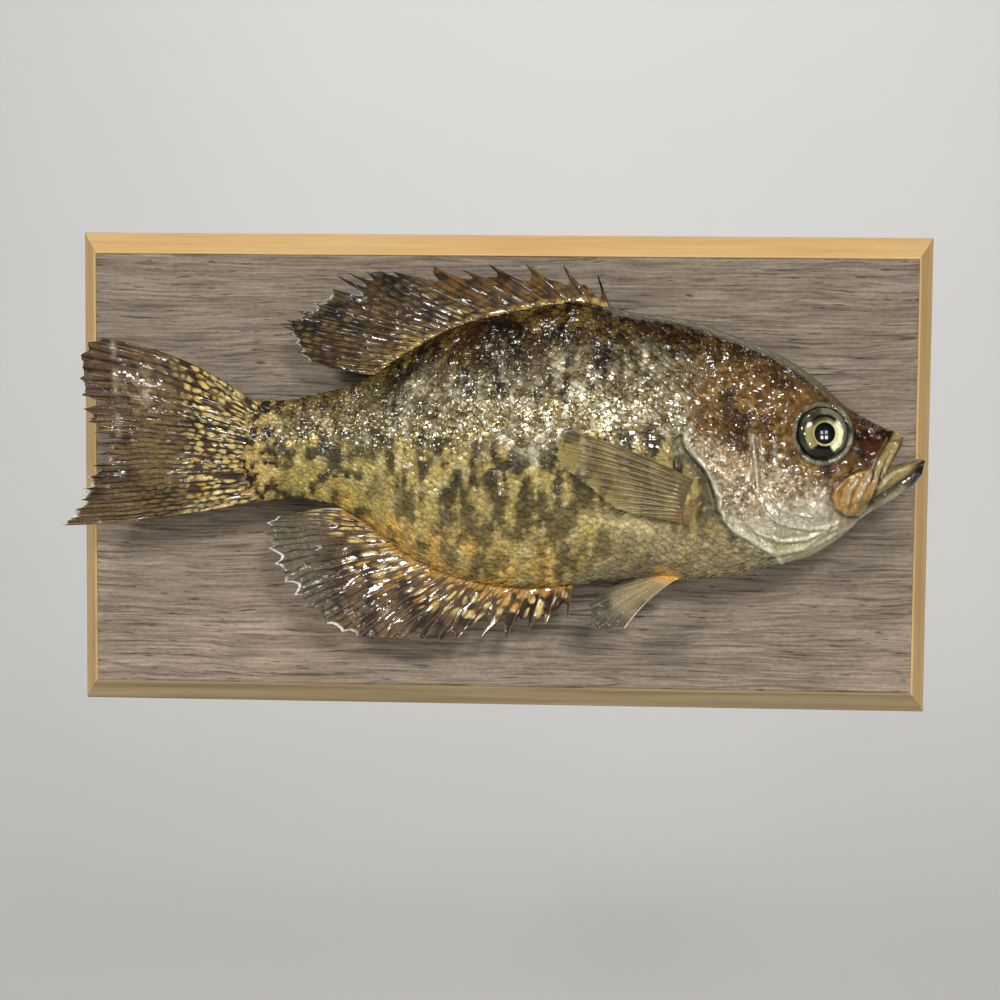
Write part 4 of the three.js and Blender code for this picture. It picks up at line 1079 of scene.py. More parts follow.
def scale_block(name, girth, x, share, length, height, lift, seed, material=SCALE, relief=None):
    """Overlapping scales in one mesh. x and share give each scale's root; length and height are its size.
    Each scale is a domed plate with its free edge towards the tail, closed underneath by a shallow cone."""
    rng = np.random.default_rng(seed)
    count = len(x)
    grid_along, grid_across = np.meshgrid(SCALE_ALONG, SCALE_ACROSS, indexing="ij")
    grid_reach = np.broadcast_to(SCALE_REACH[:, None], grid_along.shape)
    bulge = 1 - 0.16 * grid_across**2 * (grid_along > 0.6)
    local_along = (grid_along * bulge).ravel()
    local_across = (grid_across * grid_reach).ravel()
    rim = ((np.abs(grid_across) == 1) | (grid_along == 1.0)).ravel()
    yaw = rng.normal(0, 0.1, count)
    roll = rng.normal(0, 0.2, count)
    tilt = rng.normal(1.0, 0.4, count)
    size = rng.uniform(0.88, 1.12, count)
    x = x + rng.uniform(-0.25, 0.25, count)
    share = share + rng.uniform(-0.1, 0.1, count) * height / girth.length_at(x)
    back = local_along[None] * (length * size)[:, None]
    up = local_across[None] * (height * size)[:, None] / 2
    cosine, sine = np.cos(yaw)[:, None], np.sin(yaw)[:, None]
    back, up = back * cosine - up * sine, up + back * sine
    px = np.clip(x[:, None] - back, TAIL_END + 0.3, SNOUT_END - 1)
    ps = share[:, None] + up / girth.length_at(px)
    base, normal, _ = girth.frame(px, ps, -SKIN_INSET)
    profile = np.interp(local_along, SCALE_ALONG, SCALE_HEIGHT)
    dome = 0.06 * (1 - local_across**2) - 0.06 * rim
    height_off = profile[None] * (lift * tilt)[:, None] + dome[None] + roll[:, None] * local_across[None]
    if relief is not None:
        height_off = height_off + relief(base)
    points = base + normal * height_off[..., None]
    under_base, under_normal, _ = girth.frame(x - 0.45 * length, share, -SKIN_INSET)
    sink = -0.75 + (relief(under_base) if relief is not None else 0)
    under = under_base + under_normal * np.broadcast_to(sink, (count,))[:, None]
    points = np.concatenate([points, under[:, None]], axis=1)
    rows, columns = grid_along.shape
    quads = grid_faces(rows, columns)
    ring = grid_edge(rows, columns)
    centre = rows * columns
    cone = np.stack([ring, np.full(len(ring), centre), np.roll(ring, -1)], axis=-1)
    if girth.side == RIGHT:
        quads = quads[:, ::-1]
        cone = cone[:, ::-1]
    offsets = (np.arange(count) * (centre + 1))[:, None, None]
    faces = [(quads[None] + offsets).reshape(-1, 4), (cone[None] + offsets).reshape(-1, 3)]
    colours = scale_colours(rng, points, local_along, local_across, rim)
    uv = scale_patches(girth, x, share, local_along, local_across)
    flat = points.reshape(-1, 3)
    piece = make_object(name, flat, faces, material, colours.reshape(-1, 3), uv.reshape(-1, 2))
    set_values(piece.data, "silver", silver(flat))
    set_values(piece.data, "gloss", varnish(flat))
    set_values(piece.data, "lumpy", lumpiness(flat[:, 0], flat[:, 2]))


def scale_colours(rng, points, local_along, local_across, rim):
    """The skin's markings, with each scale a little lighter or darker at random, painted shade towards its
    rim and free edge where the scales overlap, and lighter near the middle of its exposed part.
    """
    count = len(points)
    tint = markings(points)
    whole = markings(points[:, SCALE_MIDDLE])[:, None]
    tint = mix(tint, np.broadcast_to(whole, tint.shape), np.full(tint.shape[:2], 0.35))
    tone = np.exp(rng.normal(0, 0.12, count))[:, None]
    # painted shade: each scale darker towards its rim, more so on the upper flank
    edge = np.append(0.62 * rim + 0.38 * (np.hypot(local_along - 0.45, local_across * 0.6) > 0.5), 1.0)
    centre = np.append(bell(np.hypot(local_along - 0.78, local_across), 0.45), 0.0)
    outline = 0.36 + 0.34 * smooth_step(points[..., 2], 8, 18)
    shade = tone * (1 - outline * edge[None]) * (1 + 0.28 * centre[None])
    return tint * shade[..., None]


def scale_patches(girth, x, share, local_along, local_across):
    """Where each scale's colours lie on the map: a small patch at its root's place on the unwrapped skin."""
    run = share * girth.length_at(x) - girth.length_at(x)
    root_u = (x - TAIL_END) / UNWRAP_LENGTH
    root_v = 0.5 + girth.side * run / UNWRAP_GIRTH
    patch_u = np.append(local_along - 0.5, 0.0) * -PATCH
    patch_v = np.append(local_across * 0.5, 0.0) * PATCH
    return np.stack([root_u[:, None] + patch_u[None], root_v[:, None] + patch_v[None]], axis=-1)


def scale_roots(girth, start, end, pitch_at, rise_share, allowed):
    """Roots in staggered columns from start to end; pitch_at gives the height of a scale at x."""
    roots_x, roots_share, heights = [], [], []
    x, column = start, 0
    while x < end:
        pitch = float(pitch_at(x))
        length = float(girth.length_at(x))
        number = max(round(length / pitch), 4)
        shares = (np.arange(number) + 0.5 * (column % 2) + 0.25) / number
        roots_x.append(np.full(number, x))
        roots_share.append(shares)
        heights.append(np.full(number, length / number))
        x += pitch * rise_share
        column += 1
    x, share, height = (np.concatenate(part) for part in (roots_x, roots_share, heights))
    place = girth.point(x, np.clip(share, 0, 1))
    keep = allowed(place[:, 0], place[:, 2]) & (share < 0.995)
    return x[keep], share[keep], height[keep]


def body_pitch(x):
    """The height of the trunk's scales, larger where the body is deep."""
    return np.clip(0.75 + 0.0245 * (along_body(x, TOP) - along_body(x, BOTTOM)), 1.9, 3.3)


def bare(x, z):
    """Skin without scales behind the gill cover: the pectoral fin's root and the hollow beside it."""
    edge = before_gill_edge(x, z)
    root = fin_root_distance(x, z, PECTORAL_FEET, (2, 3), (1, 1))
    hollow = smooth_step(edge, -8.5, -7) * smooth_step(18 - z, 0, 2) * smooth_step(z, -18, -16)
    return np.maximum(hollow, smooth_step(6.4 - root, 0, 1)) * (edge < 3)


def nape(x, z):
    """Above the line where the trunk's scales run on over the back of the head."""
    return (z > 25 + 0.45 * (x - 70)) & (x < 112)


def on_trunk(x, z):
    return ((before_gill_edge(x, z) < 2.5) | nape(x, z)) & (bare(x, z) < 0.5) & ~(on_crest(x, z) > 0.3)


def on_cheek(x, z):
    cheek = (x < 128) & (z > along_body(x, BOTTOM) + 9.5) & (z < 34 - 0.25 * (x - 80))
    bone = np.minimum(line_distance(x, z, PREOPERCLE)[0], line_distance(x, z, PREOPERCLE_INNER)[0])
    plate = depth_inside(x, z, MAXILLA) > -2.5
    smooth = (z < -7 + 0.25 * (x - 96)) | (bone < 1.6) | plate | (from_eye(x, z) < SCALELESS_RADIUS)
    return cheek & (before_gill_edge(x, z) > 4.2) & ~nape(x, z) & ~smooth


def fish_scales():
    """The trunk's scales in pieces from head to tail on each side, and the small ones on the cheeks."""
    for side, word in ((RIGHT, "right"), (LEFT, "left")):
        girth = Girth(side)
        x, share, height = scale_roots(girth, -92.0, 112.0, body_pitch, 0.6, on_trunk)
        for part, (low, high) in TRUNK_PARTS.items():
            chosen = (x >= low) & (x < high)
            lift = 0.22 + 0.2 * smooth_step(share[chosen], 0.4, 0.6)
            scale_block(f"scales_{part}_{word}", girth, x[chosen], share[chosen],
                        height[chosen] * TRUNK_LENGTH, height[chosen] * TRUNK_HEIGHT, lift, 100 + low)
        x, share, height = scale_roots(girth, 72.0, 130.0, lambda at: 2.8, 0.66, on_cheek)
        scale_block(f"scales_cheek_{word}", girth, x, share, height * CHEEK_LENGTH, height * CHEEK_HEIGHT,
                    np.full(len(x), CHEEK_LIFT), 140, CHEEK_SCALE, cheek_relief)


def cheek_relief(points):
    return head_relief(points[..., 0], points[..., 2]) + SKIN_INSET - 0.25


# ---------------------------------------------------------------- fins

FIN_GRID = np.arange(20) / 20  # columns from one ray to the next, as shares
FIN_ROWS = 62
ROOT_DEPTH = 2.6  # a fin starts this far inside the body


def catmull(points, shares):
    """A smooth curve through points, at shares of the way along it."""
    points = np.asarray(points, float)
    place = np.asarray(shares) * (len(points) - 1)
    i = np.clip(place.astype(int), 0, len(points) - 2)
    t = (place - i)[:, None]
    last = len(points) - 1
    a, b, c, d = (points[np.clip(i + k, 0, last)] for k in (-1, 0, 1, 2))
    a = np.where((i == 0)[:, None], points[0], a)
    d = np.where((i == last - 1)[:, None], points[last], d)
    v0, v1 = (c - a) * 0.5, (d - b) * 0.5
    return (2 * b - 2 * c + v0 + v1) * t**3 + (-3 * b + 3 * c - 2 * v0 - v1) * t**2 + v0 * t + b


def ragged(index, amount):
    return amount * (0.5 + 0.5 * math.sin(index * 12.9898 + 4.1))


# Places on a fin: their points, the share t of the way from foot to full length, the share out of the way to
# the web's own margin, the ray count r from the first ray, the closeness to a ray and the run from the foot.
FinPlace = namedtuple("FinPlace", "points t out r on_ray run")


def fin_object(name, node, rays, surface_y, paint, seed, ray_half=0.55, web_half=0.2, branch_from=0.45,
               foot_half=0.9, foot_run=2.4, fold=0.12, material=FIN):
    """A fin: its rays stand out of a thin web on both faces. rays holds foot, tip, notch, and perhaps bow and
    spiny for each ray; surface_y(x, z, t) is its middle surface."""
    count = len(rays)
    r = np.concatenate([i + FIN_GRID for i in range(count - 1)] + [[count - 1.0]])

    def carried(key):
        """The rays' values of one kind, carried over the columns between them."""
        values = np.array([ray.get(key, 0.0) for ray in rays], float).reshape(count, -1)
        return np.stack([np.interp(r, np.arange(count), column) for column in values.T], axis=-1)

    foot, tip, bow, soft = carried("foot"), carried("tip"), carried("bow")[:, 0], 1 - carried("spiny")[:, 0]
    off = r - np.round(r)
    notches = np.array([ray["notch"] for ray in rays])[np.minimum(r.astype(int), count - 2)]
    notch = notches * (1 - bell(off, 0.07)) * (np.abs(np.sin(math.pi * r)) ** 0.5)
    seeded = np.stack([r * 3.1, r * 0, r * 0 + seed], axis=-1)
    notch = notch * (1 + 0.5 * noise(seeded, 1.0, seed)) + 0.012 * np.abs(noise(seeded, 0.35, seed + 1))
    along = tip - foot
    length = np.linalg.norm(along, axis=1)
    direction = along / length[:, None]
    foot = foot - direction * ROOT_DEPTH
    along = tip - foot
    length = length + ROOT_DEPTH
    across = np.stack([-direction[:, 1], direction[:, 0]], axis=-1)
    t = (np.linspace(0, 1, FIN_ROWS)) ** 0.9
    reach = (1 - np.clip(notch, 0, 0.8))[:, None] * t[None]
    place = foot[:, None] + along[:, None] * reach[..., None]
    place = place + across[:, None] * (bow[:, None] * 4 * reach * (1 - reach))[..., None]
    gap = np.linalg.norm(np.diff(place, axis=0), axis=2)
    gap = np.concatenate([gap, gap[-1:]], axis=0)
    step = np.concatenate([np.diff(r), [r[-1] - r[-2]]])[:, None]
    spacing = gap / step
    spread = 0.2 * smooth_step(reach, branch_from, 0.95) * soft[:, None]
    to_ray = np.minimum(np.abs(off[:, None] - spread), np.abs(off[:, None] + spread)) * spacing
    ridge_width = mix(0.5, 0.24, smooth_step(reach, 0.1, 0.9)) * (1 + 0.35 * (1 - soft))[:, None]
    taper = mix(1.0, 0.45, reach)
    half = web_half + (ray_half - web_half) * bell(to_ray, ridge_width) * taper
    half = half + foot_half * bell(reach * length[:, None], foot_run + ROOT_DEPTH * 0.3)
    half[:, -1] *= 0.4
    flat = np.stack([place[..., 0], np.zeros_like(half), place[..., 1]], axis=-1)
    ripple = 0.3 * noise(flat, (5, 5, 5), seed + 2) * smooth_step(reach, 0.1, 0.5)
    lengthwise = np.stack([r[:, None] + 0 * reach, 0 * reach, length[:, None] * reach], axis=-1)
    ripple = ripple + fold * noise(lengthwise, (0.55, 1, 11), seed + 3) * smooth_step(reach, 0.08, 0.2)
    sag = 0.24 * np.abs(np.sin(math.pi * r))[:, None] * smooth_step(reach, 0.05, 0.4)
    y = surface_y(place[..., 0], place[..., 1], reach) + ripple + sag
    faces_y = (y - half, y + half)
    points = np.concatenate([np.stack([place[..., 0], face_y, place[..., 1]], axis=-1).reshape(-1, 3)
                             for face_y in faces_y])
    columns = len(r)
    sheet = grid_faces(columns, FIN_ROWS)
    shift = columns * FIN_ROWS
    edge = grid_edge(columns, FIN_ROWS)
    rim = np.stack([edge, np.roll(edge, -1), np.roll(edge, -1) + shift, edge + shift], axis=-1)
    faces = np.concatenate([sheet, sheet[:, ::-1] + shift, rim[:, ::-1]])
    area = np.cross(points[faces[0, 1]] - points[faces[0, 0]], points[faces[0, 2]] - points[faces[0, 0]])
    if area[1] > 0:
        faces = faces[:, ::-1]
    place = FinPlace(flat, reach, t[None] + 0 * reach, r[:, None] + 0 * reach,
                     bell(to_ray, ridge_width * 0.8), length[:, None] * reach - ROOT_DEPTH)
    tint = np.concatenate([paint(place).reshape(-1, 3)] * 2)
    piece = make_object(name, points, [faces], material, tint)
    set_values(piece.data, "gloss", np.tile(fin_gloss(place, seed).ravel(), 2))
    set_values(piece.data, "lumpy", np.ones(len(points)))
    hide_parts(node)


DORSAL_SPINE_FEET = [41.0, 33, 25.3, 18.6, 11.4, 3.8, -4]
DORSAL_SPINE_TIPS = [(36.4, 76.8), (23.4, 79.9), (9.2, 80.5), (-4.6, 80), (-15.1, 78.2), (-25.2, 79.1),
                     (-41.4, 77.2)]
DORSAL_SPINE_NOTCHES = [0.7, 0.56, 0.34, 0.2, 0.24, 0.18, 0.08]
DORSAL_SOFT = {"rays": 15, "first": -10.5, "last": -47.6}
DORSAL_TEARS = {1: 0.1, 2: 0.24, 3: 0.2}
DORSAL_MARGIN = [(-45.5, 77.4), (-55, 76.6), (-62.4, 75.2), (-65.6, 67.2), (-71.5, 64.6), (-79.8, 59),
                 (-82.1, 55.4), (-77.4, 50.6), (-75.3, 45), (-65, 41.2)]
ANAL_SPINE_FEET = [28.4, 22.6, 16.8, 11, 5, -1]
ANAL_SPINE_TIPS = [(26.8, -52.1), (18.2, -54.8), (12, -57.4), (3.2, -61.6), (-6.3, -60.8), (-15.4, -61.2)]
ANAL_SPINE_NOTCHES = [0.36, 0.36, 0.36, 0.36, 0.36, 0.12]
ANAL_SOFT = {"rays": 17, "first": -6.6, "last": -60.4}
ANAL_LAST_RAY = len(ANAL_SPINE_FEET) + ANAL_SOFT["rays"] - 1
ANAL_MARGIN = [(-20.7, -61.6), (-34, -61.4), (-47, -61.8), (-55.2, -60), (-63.6, -56.6), (-73.5, -48.2),
               (-79.4, -41.6), (-84.4, -32), (-87, -24), (-86.6, -17.2), (-80.4, -14.6), (-74.8, -14)]
TAIL_FEET = {"x": -93.5, "top": 27.2, "bottom": -9.9}
TAIL_RAYS = 17
TAIL_MARGIN = [(-149.6, 51.3), (-156.6, 47.4), (-157, 34.5), (-156.4, 25.6), (-153.4, 18), (-149, 11.8),
               (-151.6, 5), (-155.2, -2), (-158, -9), (-161.6, -15), (-164.4, -19.4)]
TAIL_BOW = (4.6, -2.2)
TAIL_TEARS = {4: 0.1, 7: 0.12}
PECTORAL_RAYS = 13
PECTORAL_MARGIN = [(25.4, 19.8), (22, 15.4), (21.2, 10.4), (24.6, 5.8), (31.2, 0.2), (38.6, -4.6), (44, -9.2),
                   (52, -11.2), (59, -12.6)]
PELVIC_RAYS = 7
PELVIC_MARGIN = [(48.2, -54.6), (43.4, -54.4), (38.4, -56), (35, -54), (34.6, -46), (39.4, -40.8),
                 (47.6, -36.8)]
DORSAL_FLARE, ANAL_FLARE, TAIL_FLARE, PECTORAL_LIFT, PELVIC_FLARE = -4.0, -9.6, -10.0, 3.4, 7.0
LEFT_FIN_SCALE = 0.72

WEB_BROWN = colour(62, 42, 20)
WEB_DARK = colour(20, 13, 6)
WEB_GREY = colour(66, 54, 34)
WEB_OLIVE = colour(74, 60, 24)
RAY_DARK = colour(34, 24, 14)
RAY_TAN = colour(146, 116, 70)
RAY_PALE = colour(186, 172, 124)
SPOT_OLIVE = colour(124, 104, 54)
SPOT_YELLOW = colour(180, 150, 68)
# the pale of painted highlights on the fins' margins and edges
HIGHLIGHT_PALE = colour(222, 218, 204)
DORSAL_AMBER, DORSAL_BROWN = colour(108, 74, 32), colour(62, 42, 18)
ANAL_LIGHT, ANAL_DARK = colour(98, 76, 48), colour(50, 35, 22)
ANAL_LOBE, ANAL_FAINT = colour(108, 102, 84), colour(116, 108, 84)
ANAL_SPOTS = colour(206, 152, 68), colour(222, 198, 130)
ANAL_RAY = colour(150, 122, 84)
TAIL_LIGHT, TAIL_DARK, TAIL_UPPER = colour(104, 84, 52), colour(62, 46, 25), colour(86, 64, 46)
TAIL_SPOTS = colour(204, 180, 108), colour(182, 138, 56)
TAIL_FAINT, TAIL_HIGHLIGHT = colour(126, 106, 62), colour(176, 160, 130)
PECTORAL_EDGE = colour(60, 52, 28)
PELVIC_FOOT, PELVIC_WEB, PELVIC_TIP = colour(208, 160, 80), colour(150, 134, 98), colour(82, 74, 58)


def fin_gloss(place, seed):
    """How much varnish a fin carries: pools of it near the foot, a thin coat further out."""
    pools = noise(place.points, (8, 8, 6), seed + 5) + 0.5 * noise(place.points, 3, seed + 6)
    bias = 0.65 * smooth_step(24 - place.run, 0, 14) - 0.25 * smooth_step(place.t, 0.4, 0.8)
    return 0.1 + 0.9 * smooth_step(pools + bias, -0.25, 0.25)


def random_share(*numbers):
    """A number from 0 to 1 that depends on whole numbers alone."""
    total = sum(number * factor for number, factor in zip(numbers, (12.9898, 78.233, 37.719)))
    value = np.sin(total) * 43758.5453
    return value - np.floor(value)


def ocelli(place, rows, length, seed, size=0.4):
    """Rounded spots in rows along a fin, rows of them from one ray to the next: 1 in a spot, 0 around it."""
    across = place.r * rows + 0.3 * noise(place.points, 3.2, seed)
    row = np.floor(across)
    down = (place.run + 1.6 * noise(place.points, 4, seed + 1)) / length + 0.5 * (row % 2)
    down = down + 0.35 * random_share(row, seed)
    cell = np.floor(down)
    radius = size * (0.6 + 0.55 * random_share(row, cell, seed)) * (random_share(row, cell, seed + 3) > 0.12)
    u = down - cell - 0.5 + 0.24 * (random_share(row, cell, seed + 1) - 0.5)
    v = across - row - 0.5 + 0.2 * (random_share(row, cell, seed + 2) - 0.5)
    return smooth_step(radius - np.hypot(u, v), -0.05, 0.09) * (radius > 0)


def thin_lines(place, number, seed, level=0.45):
    """Fine lines along a fin, a number of them from one ray to the next."""
    wave = np.cos(2 * math.pi * (number * place.r + 0.3 * noise(place.points, 7, seed)))
    return smooth_step(wave + 0.35 * noise(place.points, 2.4, seed + 1), level, 1.0)


def margin_highlight(place, seed, level=0.1):
    """Patches of painted highlight along a fin's margin."""
    patch = smooth_step(noise(place.points, (6, 6, 5), seed), level, level + 0.25)
    return smooth_step(place.out, 0.968, 0.984) * patch


def paint_dorsal(place):
    points, run, r = place.points, place.run, place.r
    spotted = mix(SPOT_OLIVE, SPOT_YELLOW, smooth_step(16 - run, 0, 12))
    checks = ocelli(place, 1, 4.4, 203, 0.4) * (0.4 + 0.6 * patches(points, 6, 204, -0.3, 0.3))
    amber = mix(DORSAL_AMBER, DORSAL_BROWN, patches(points, 3, 205, -0.3, 0.4))
    base = mix(HEAD_AMBER, SPOT_YELLOW, patches(points, 2.4, 207, -0.1, 0.5))
    return layers(mix(WEB_BROWN, WEB_DARK, patches(points, 7, 201, -0.4, 0.5)),
                  (spotted, 0.8 * checks),
                  (amber, 0.75 * smooth_step(6.5 - r, 0, 1)),
                  (WEB_DARK, 0.75 * thin_lines(place, 3, 206, 0.3)),
                  (base, smooth_step(3.6 - run, 0, 2) * 0.85),
                  (mix(RAY_DARK, RAY_TAN, patches(points, 5, 209, -0.2, 0.5)), 0.75 * place.on_ray),
                  # painted highlight in patches along the soft part's margin
                  (HIGHLIGHT_PALE, 0.45 * margin_highlight(place, 210, 0.1) * smooth_step(r, 7, 9)))


def paint_anal(place):
    points, run, x = place.points, place.run, place.points[..., 0]
    dark = smooth_step(noise(points, 6, 211) + 0.5 * (place.t - 0.5), -0.3, 0.5)
    rows = ocelli(place, 1.4, 6.4, 215, 0.4) * smooth_step(24 + 7 * noise(points, 9, 216) - run, 0, 12)
    fringe = smooth_step(3.4 + 2 * noise(points, 3, 214) - run, 0, 2)
    rays = mix(mix(RAY_DARK, FIN_ORANGE, smooth_step(10 - run, 0, 8)), ANAL_RAY, 0.6)
    upper_edge_highlight = smooth_step(place.r, ANAL_LAST_RAY - 0.4, ANAL_LAST_RAY - 0.2)
    return layers(mix(ANAL_LIGHT, ANAL_DARK, dark),
                  (ANAL_LOBE, 0.75 * smooth_step(-58 - x, 0, 16)),
                  (mix(*ANAL_SPOTS, patches(points, 3, 213, -0.6, 0.0)), 0.9 * rows),
                  (mix(FIN_ORANGE, WEB_BROWN, 0.2), 0.9 * fringe),
                  (ANAL_FAINT, 0.5 * ocelli(place, 1, 5.2, 217, 0.34) * smooth_step(run, 18, 28)),
                  (WEB_DARK, 0.7 * thin_lines(place, 2, 218, 0.4)),
                  (rays, 0.85 * place.on_ray),
                  # painted highlights: pale along the fin's upper edge and in patches on its rear margin
                  (HIGHLIGHT_PALE, upper_edge_highlight * patches(points, 5, 219, -0.6, -0.2)),
                  (HIGHLIGHT_PALE, 0.95 * margin_highlight(place, 220, -0.3) * smooth_step(-50 - x, 0, 8)))


def paint_tail(place):
    points, run = place.points, place.run
    x, z = points[..., 0], points[..., 2]
    upper = smooth_step(7.5 - place.r, 0, 3) * smooth_step(place.t, 0.35, 0.6)
    near = smooth_step(34 + 7 * noise(points, 11, 222) - run, 0, 12)
    gold = mix(*TAIL_SPOTS, patches(points, 6, 226, 0.0, 0.5))
    faint = ocelli(place, 2, 4.6, 229, 0.4) * (1 - near) * smooth_step(0.85 - place.t, 0, 0.3)
    stalk = smooth_step(5 + 3 * noise(points, 3.5, 228) - run, 0, 5)
    # painted highlights: a pale streak along a crease of the upper lobe and a pale patch on the lobe
    crease_highlight = bell(x + 143.6 + 0.06 * (z - 30), 0.9) * (z > 14) * patches(points, 2.4, 232, -0.5, 0.1)
    highlight_patch = bell(np.hypot(x + 134.5, 0.8 * (z - 30.5)), 5.5) * patches(points, 1.6, 230, -0.1, 0.3)
    rays = mix(RAY_DARK, RAY_TAN, patches(points, 4, 231, -0.1, 0.6))
    return layers(mix(TAIL_LIGHT, TAIL_DARK, patches(points, 7, 221, -0.4, 0.5)),
                  (TAIL_UPPER, 0.85 * upper),
                  (mix(WEB_BROWN, WEB_DARK, patches(points, 5, 223, -0.5, 0.3)), 0.9 * near),
                  (WEB_DARK, 0.9 * thin_lines(place, 2, 224, 0.2) * (1 - 0.5 * near)),
                  (gold, ocelli(place, 1.5, 3.8, 227, 0.42) * near),
                  (TAIL_FAINT, 0.6 * faint),
                  (flank_colour(points), stalk),
                  (TAIL_HIGHLIGHT, np.clip(0.5 * crease_highlight + 0.8 * highlight_patch, 0, 1)),
                  (rays, 0.8 * place.on_ray * (1 - 0.8 * stalk)),
                  # painted highlight in patches along the margin
                  (HIGHLIGHT_PALE, 0.8 * margin_highlight(place, 233, -0.05) * smooth_step(place.r, 7, 9)))


def paint_pectoral(place):
    points, r, t = place.points, place.r, place.t
    wave = np.cos(2 * math.pi * (2 * r + 0.25 * noise(points, 8, 233)))
    threads = smooth_step(wave + 0.5 * noise(points, 3, 235), 0.3, 1.1)
    rays = mix(RAY_PALE, WEB_OLIVE, 0.22 + 0.3 * noise(points, 6, 237))
    root = mix(HOLLOW_GREY, ROOT_ORANGE, smooth_step(r + noise(points, 3, 239), 4, 8))
    return layers(mix(WEB_OLIVE, WEB_GREY, smooth_step(r + noise(points, 9, 231), 6, 11)),
                  (rays, 0.7 * np.maximum(place.on_ray, 0.7 * threads) * smooth_step(t, 0.1, 0.25)),
                  (PECTORAL_EDGE, 0.6 * smooth_step(r, PECTORAL_RAYS - 1.6, PECTORAL_RAYS - 1.1)),
                  (flank_colour(points), 0.2 + 0.4 * smooth_step(t, 0.72, 1.0)),
                  (root, smooth_step(4.5 + 1.5 * noise(points, 2.5, 238) - place.run, 0, 4.5)))


def paint_pelvic(place):
    points, t = place.points, place.t
    web = mix(PELVIC_WEB, PELVIC_TIP, smooth_step(t + 0.2 * noise(points, 5, 241), 0.45, 0.85))
    return layers(mix(PELVIC_FOOT, web, smooth_step(t + 0.15 * noise(points, 5, 243), 0.06, 0.34)),
                  (WEB_DARK, 0.4 * thin_lines(place, 3, 245) * smooth_step(t, 0.1, 0.4)),
                  (mix(WEB_DARK, RAY_PALE, 0.45), 0.55 * place.on_ray * smooth_step(t, 0.1, 0.4)),
                  # painted highlight: pale along the first ray
                  (HIGHLIGHT_PALE, 0.75 * smooth_step(0.14 - place.r, 0, 0.08) * smooth_step(t, 0.08, 0.2)))


def on_outline(x, outline):
    """A ray's foot on the outline of the back or the belly."""
    return (x, float(value_at(TRUNK_ROWS, np.array(x), outline)))


def soft_rays(soft, margin, outline, bow, notch_from, notch_more, tears=None):
    """tears gives the depth of a torn web, as a share of its rays' length, by the number of its first ray."""
    rays = []
    for i, tip in enumerate(catmull(margin, np.linspace(0, 1, soft["rays"]))):
        x = mix(soft["first"], soft["last"], i / (soft["rays"] - 1))
        notch = (tears or {}).get(i, notch_from + ragged(i, notch_more))
        rays.append({"foot": on_outline(x, outline), "tip": tuple(tip), "bow": bow, "notch": notch})
    return rays


def spines(feet, tips, outline, notches):
    return [{"foot": on_outline(x, outline), "tip": tip, "notch": notch, "spiny": 1.0}
            for x, tip, notch in zip(feet, tips, notches)]


def dorsal_fin():
    rays = spines(DORSAL_SPINE_FEET, DORSAL_SPINE_TIPS, TOP, DORSAL_SPINE_NOTCHES)
    rays += soft_rays(DORSAL_SOFT, DORSAL_MARGIN, TOP, 0.8, 0.015, 0.05, DORSAL_TEARS)
    fin_object("dorsal_fin_skin", "dorsal_fin", rays, lambda x, z, t: middle_at(x) + DORSAL_FLARE * t * t,
               paint_dorsal, 301)


def anal_fin():
    rays = spines(ANAL_SPINE_FEET, ANAL_SPINE_TIPS, BOTTOM, ANAL_SPINE_NOTCHES)
    rays += soft_rays(ANAL_SOFT, ANAL_MARGIN, BOTTOM, -1.0, 0.015, 0.045)
    fin_object("anal_fin_skin", "anal_fin", rays, lambda x, z, t: middle_at(x) + ANAL_FLARE * t,
               paint_anal, 311)


def tail_fin():
    rays = []
    for i, tip in enumerate(catmull(TAIL_MARGIN, np.linspace(0, 1, TAIL_RAYS))):
        share = i / (TAIL_RAYS - 1)
        foot = (TAIL_FEET["x"], mix(TAIL_FEET["top"], TAIL_FEET["bottom"], share))
        notch = TAIL_TEARS.get(i, 0.02 + ragged(i, 0.035))
        rays.append({"foot": foot, "tip": tuple(tip), "bow": -mix(*TAIL_BOW, share), "notch": notch})
    fin_object("tail_fin_skin", "tail_fin", rays, lambda x, z, t: middle_at(TAIL_FEET["x"]) + TAIL_FLARE * t,
               paint_tail, 321, foot_half=1.5, foot_run=8.0)


def paired_rays(feet, margin, count, scale):
    """The rays of a pectoral or pelvic fin, shortened by scale for the fish's left side."""
    rays = []
    for i, tip in enumerate(catmull(margin, np.linspace(0, 1, count))):
        share = i / (count - 1)
        foot = mix(np.array(feet[0]), np.array(feet[1]), share)
        rays.append({"foot": foot, "tip": foot + (tip - foot) * scale, "notch": 0.02,
                     "bow": -1.6 * (1 - share)})
    return rays


def flank_y(x, z):
    """Y of the right flank at x and z."""
    top, bottom = along_body(x, TOP), along_body(x, BOTTOM)
    widest = bottom + WIDEST_AT * (top - bottom)
    upper = z > widest
    share = np.clip(np.abs(z - widest) / np.where(upper, top - widest, widest - bottom), 0, 1)
    drop = (1 - share ** np.where(upper, BACK_SHARPNESS, BELLY_SHARPNESS)) ** (1 / FLANK_FULLNESS)
    return middle_at(x) - value_at(TRUNK_ROWS, x, HALF_WIDTH) * drop


def pectoral_fins():
    soft = {"branch_from": 0.25, "web_half": 0.16, "material": SOFT_FIN}
    rays = paired_rays(PECTORAL_FEET, PECTORAL_MARGIN, PECTORAL_RAYS, 1.0)
    fin_object("pectoral_fin_right_skin", "pectoral_fin_right", rays,
               lambda x, z, t: flank_y(x, z) + 1.4 - 2.3 * smooth_step(t, 0.0, 0.13) - PECTORAL_LIFT * t,
               paint_pectoral, 331, ray_half=0.34, fold=0.06, **soft)
    rays = paired_rays(PECTORAL_FEET, PECTORAL_MARGIN, PECTORAL_RAYS, LEFT_FIN_SCALE * 0.66)
    beside = (CONTACT_PLANE + FREE_PLANE) / 2 + 0.4
    fin_object("pectoral_fin_left_skin", "pectoral_fin_left", rays, lambda x, z, t: beside + 0 * x,
               paint_pectoral, 341, ray_half=0.3, **soft)


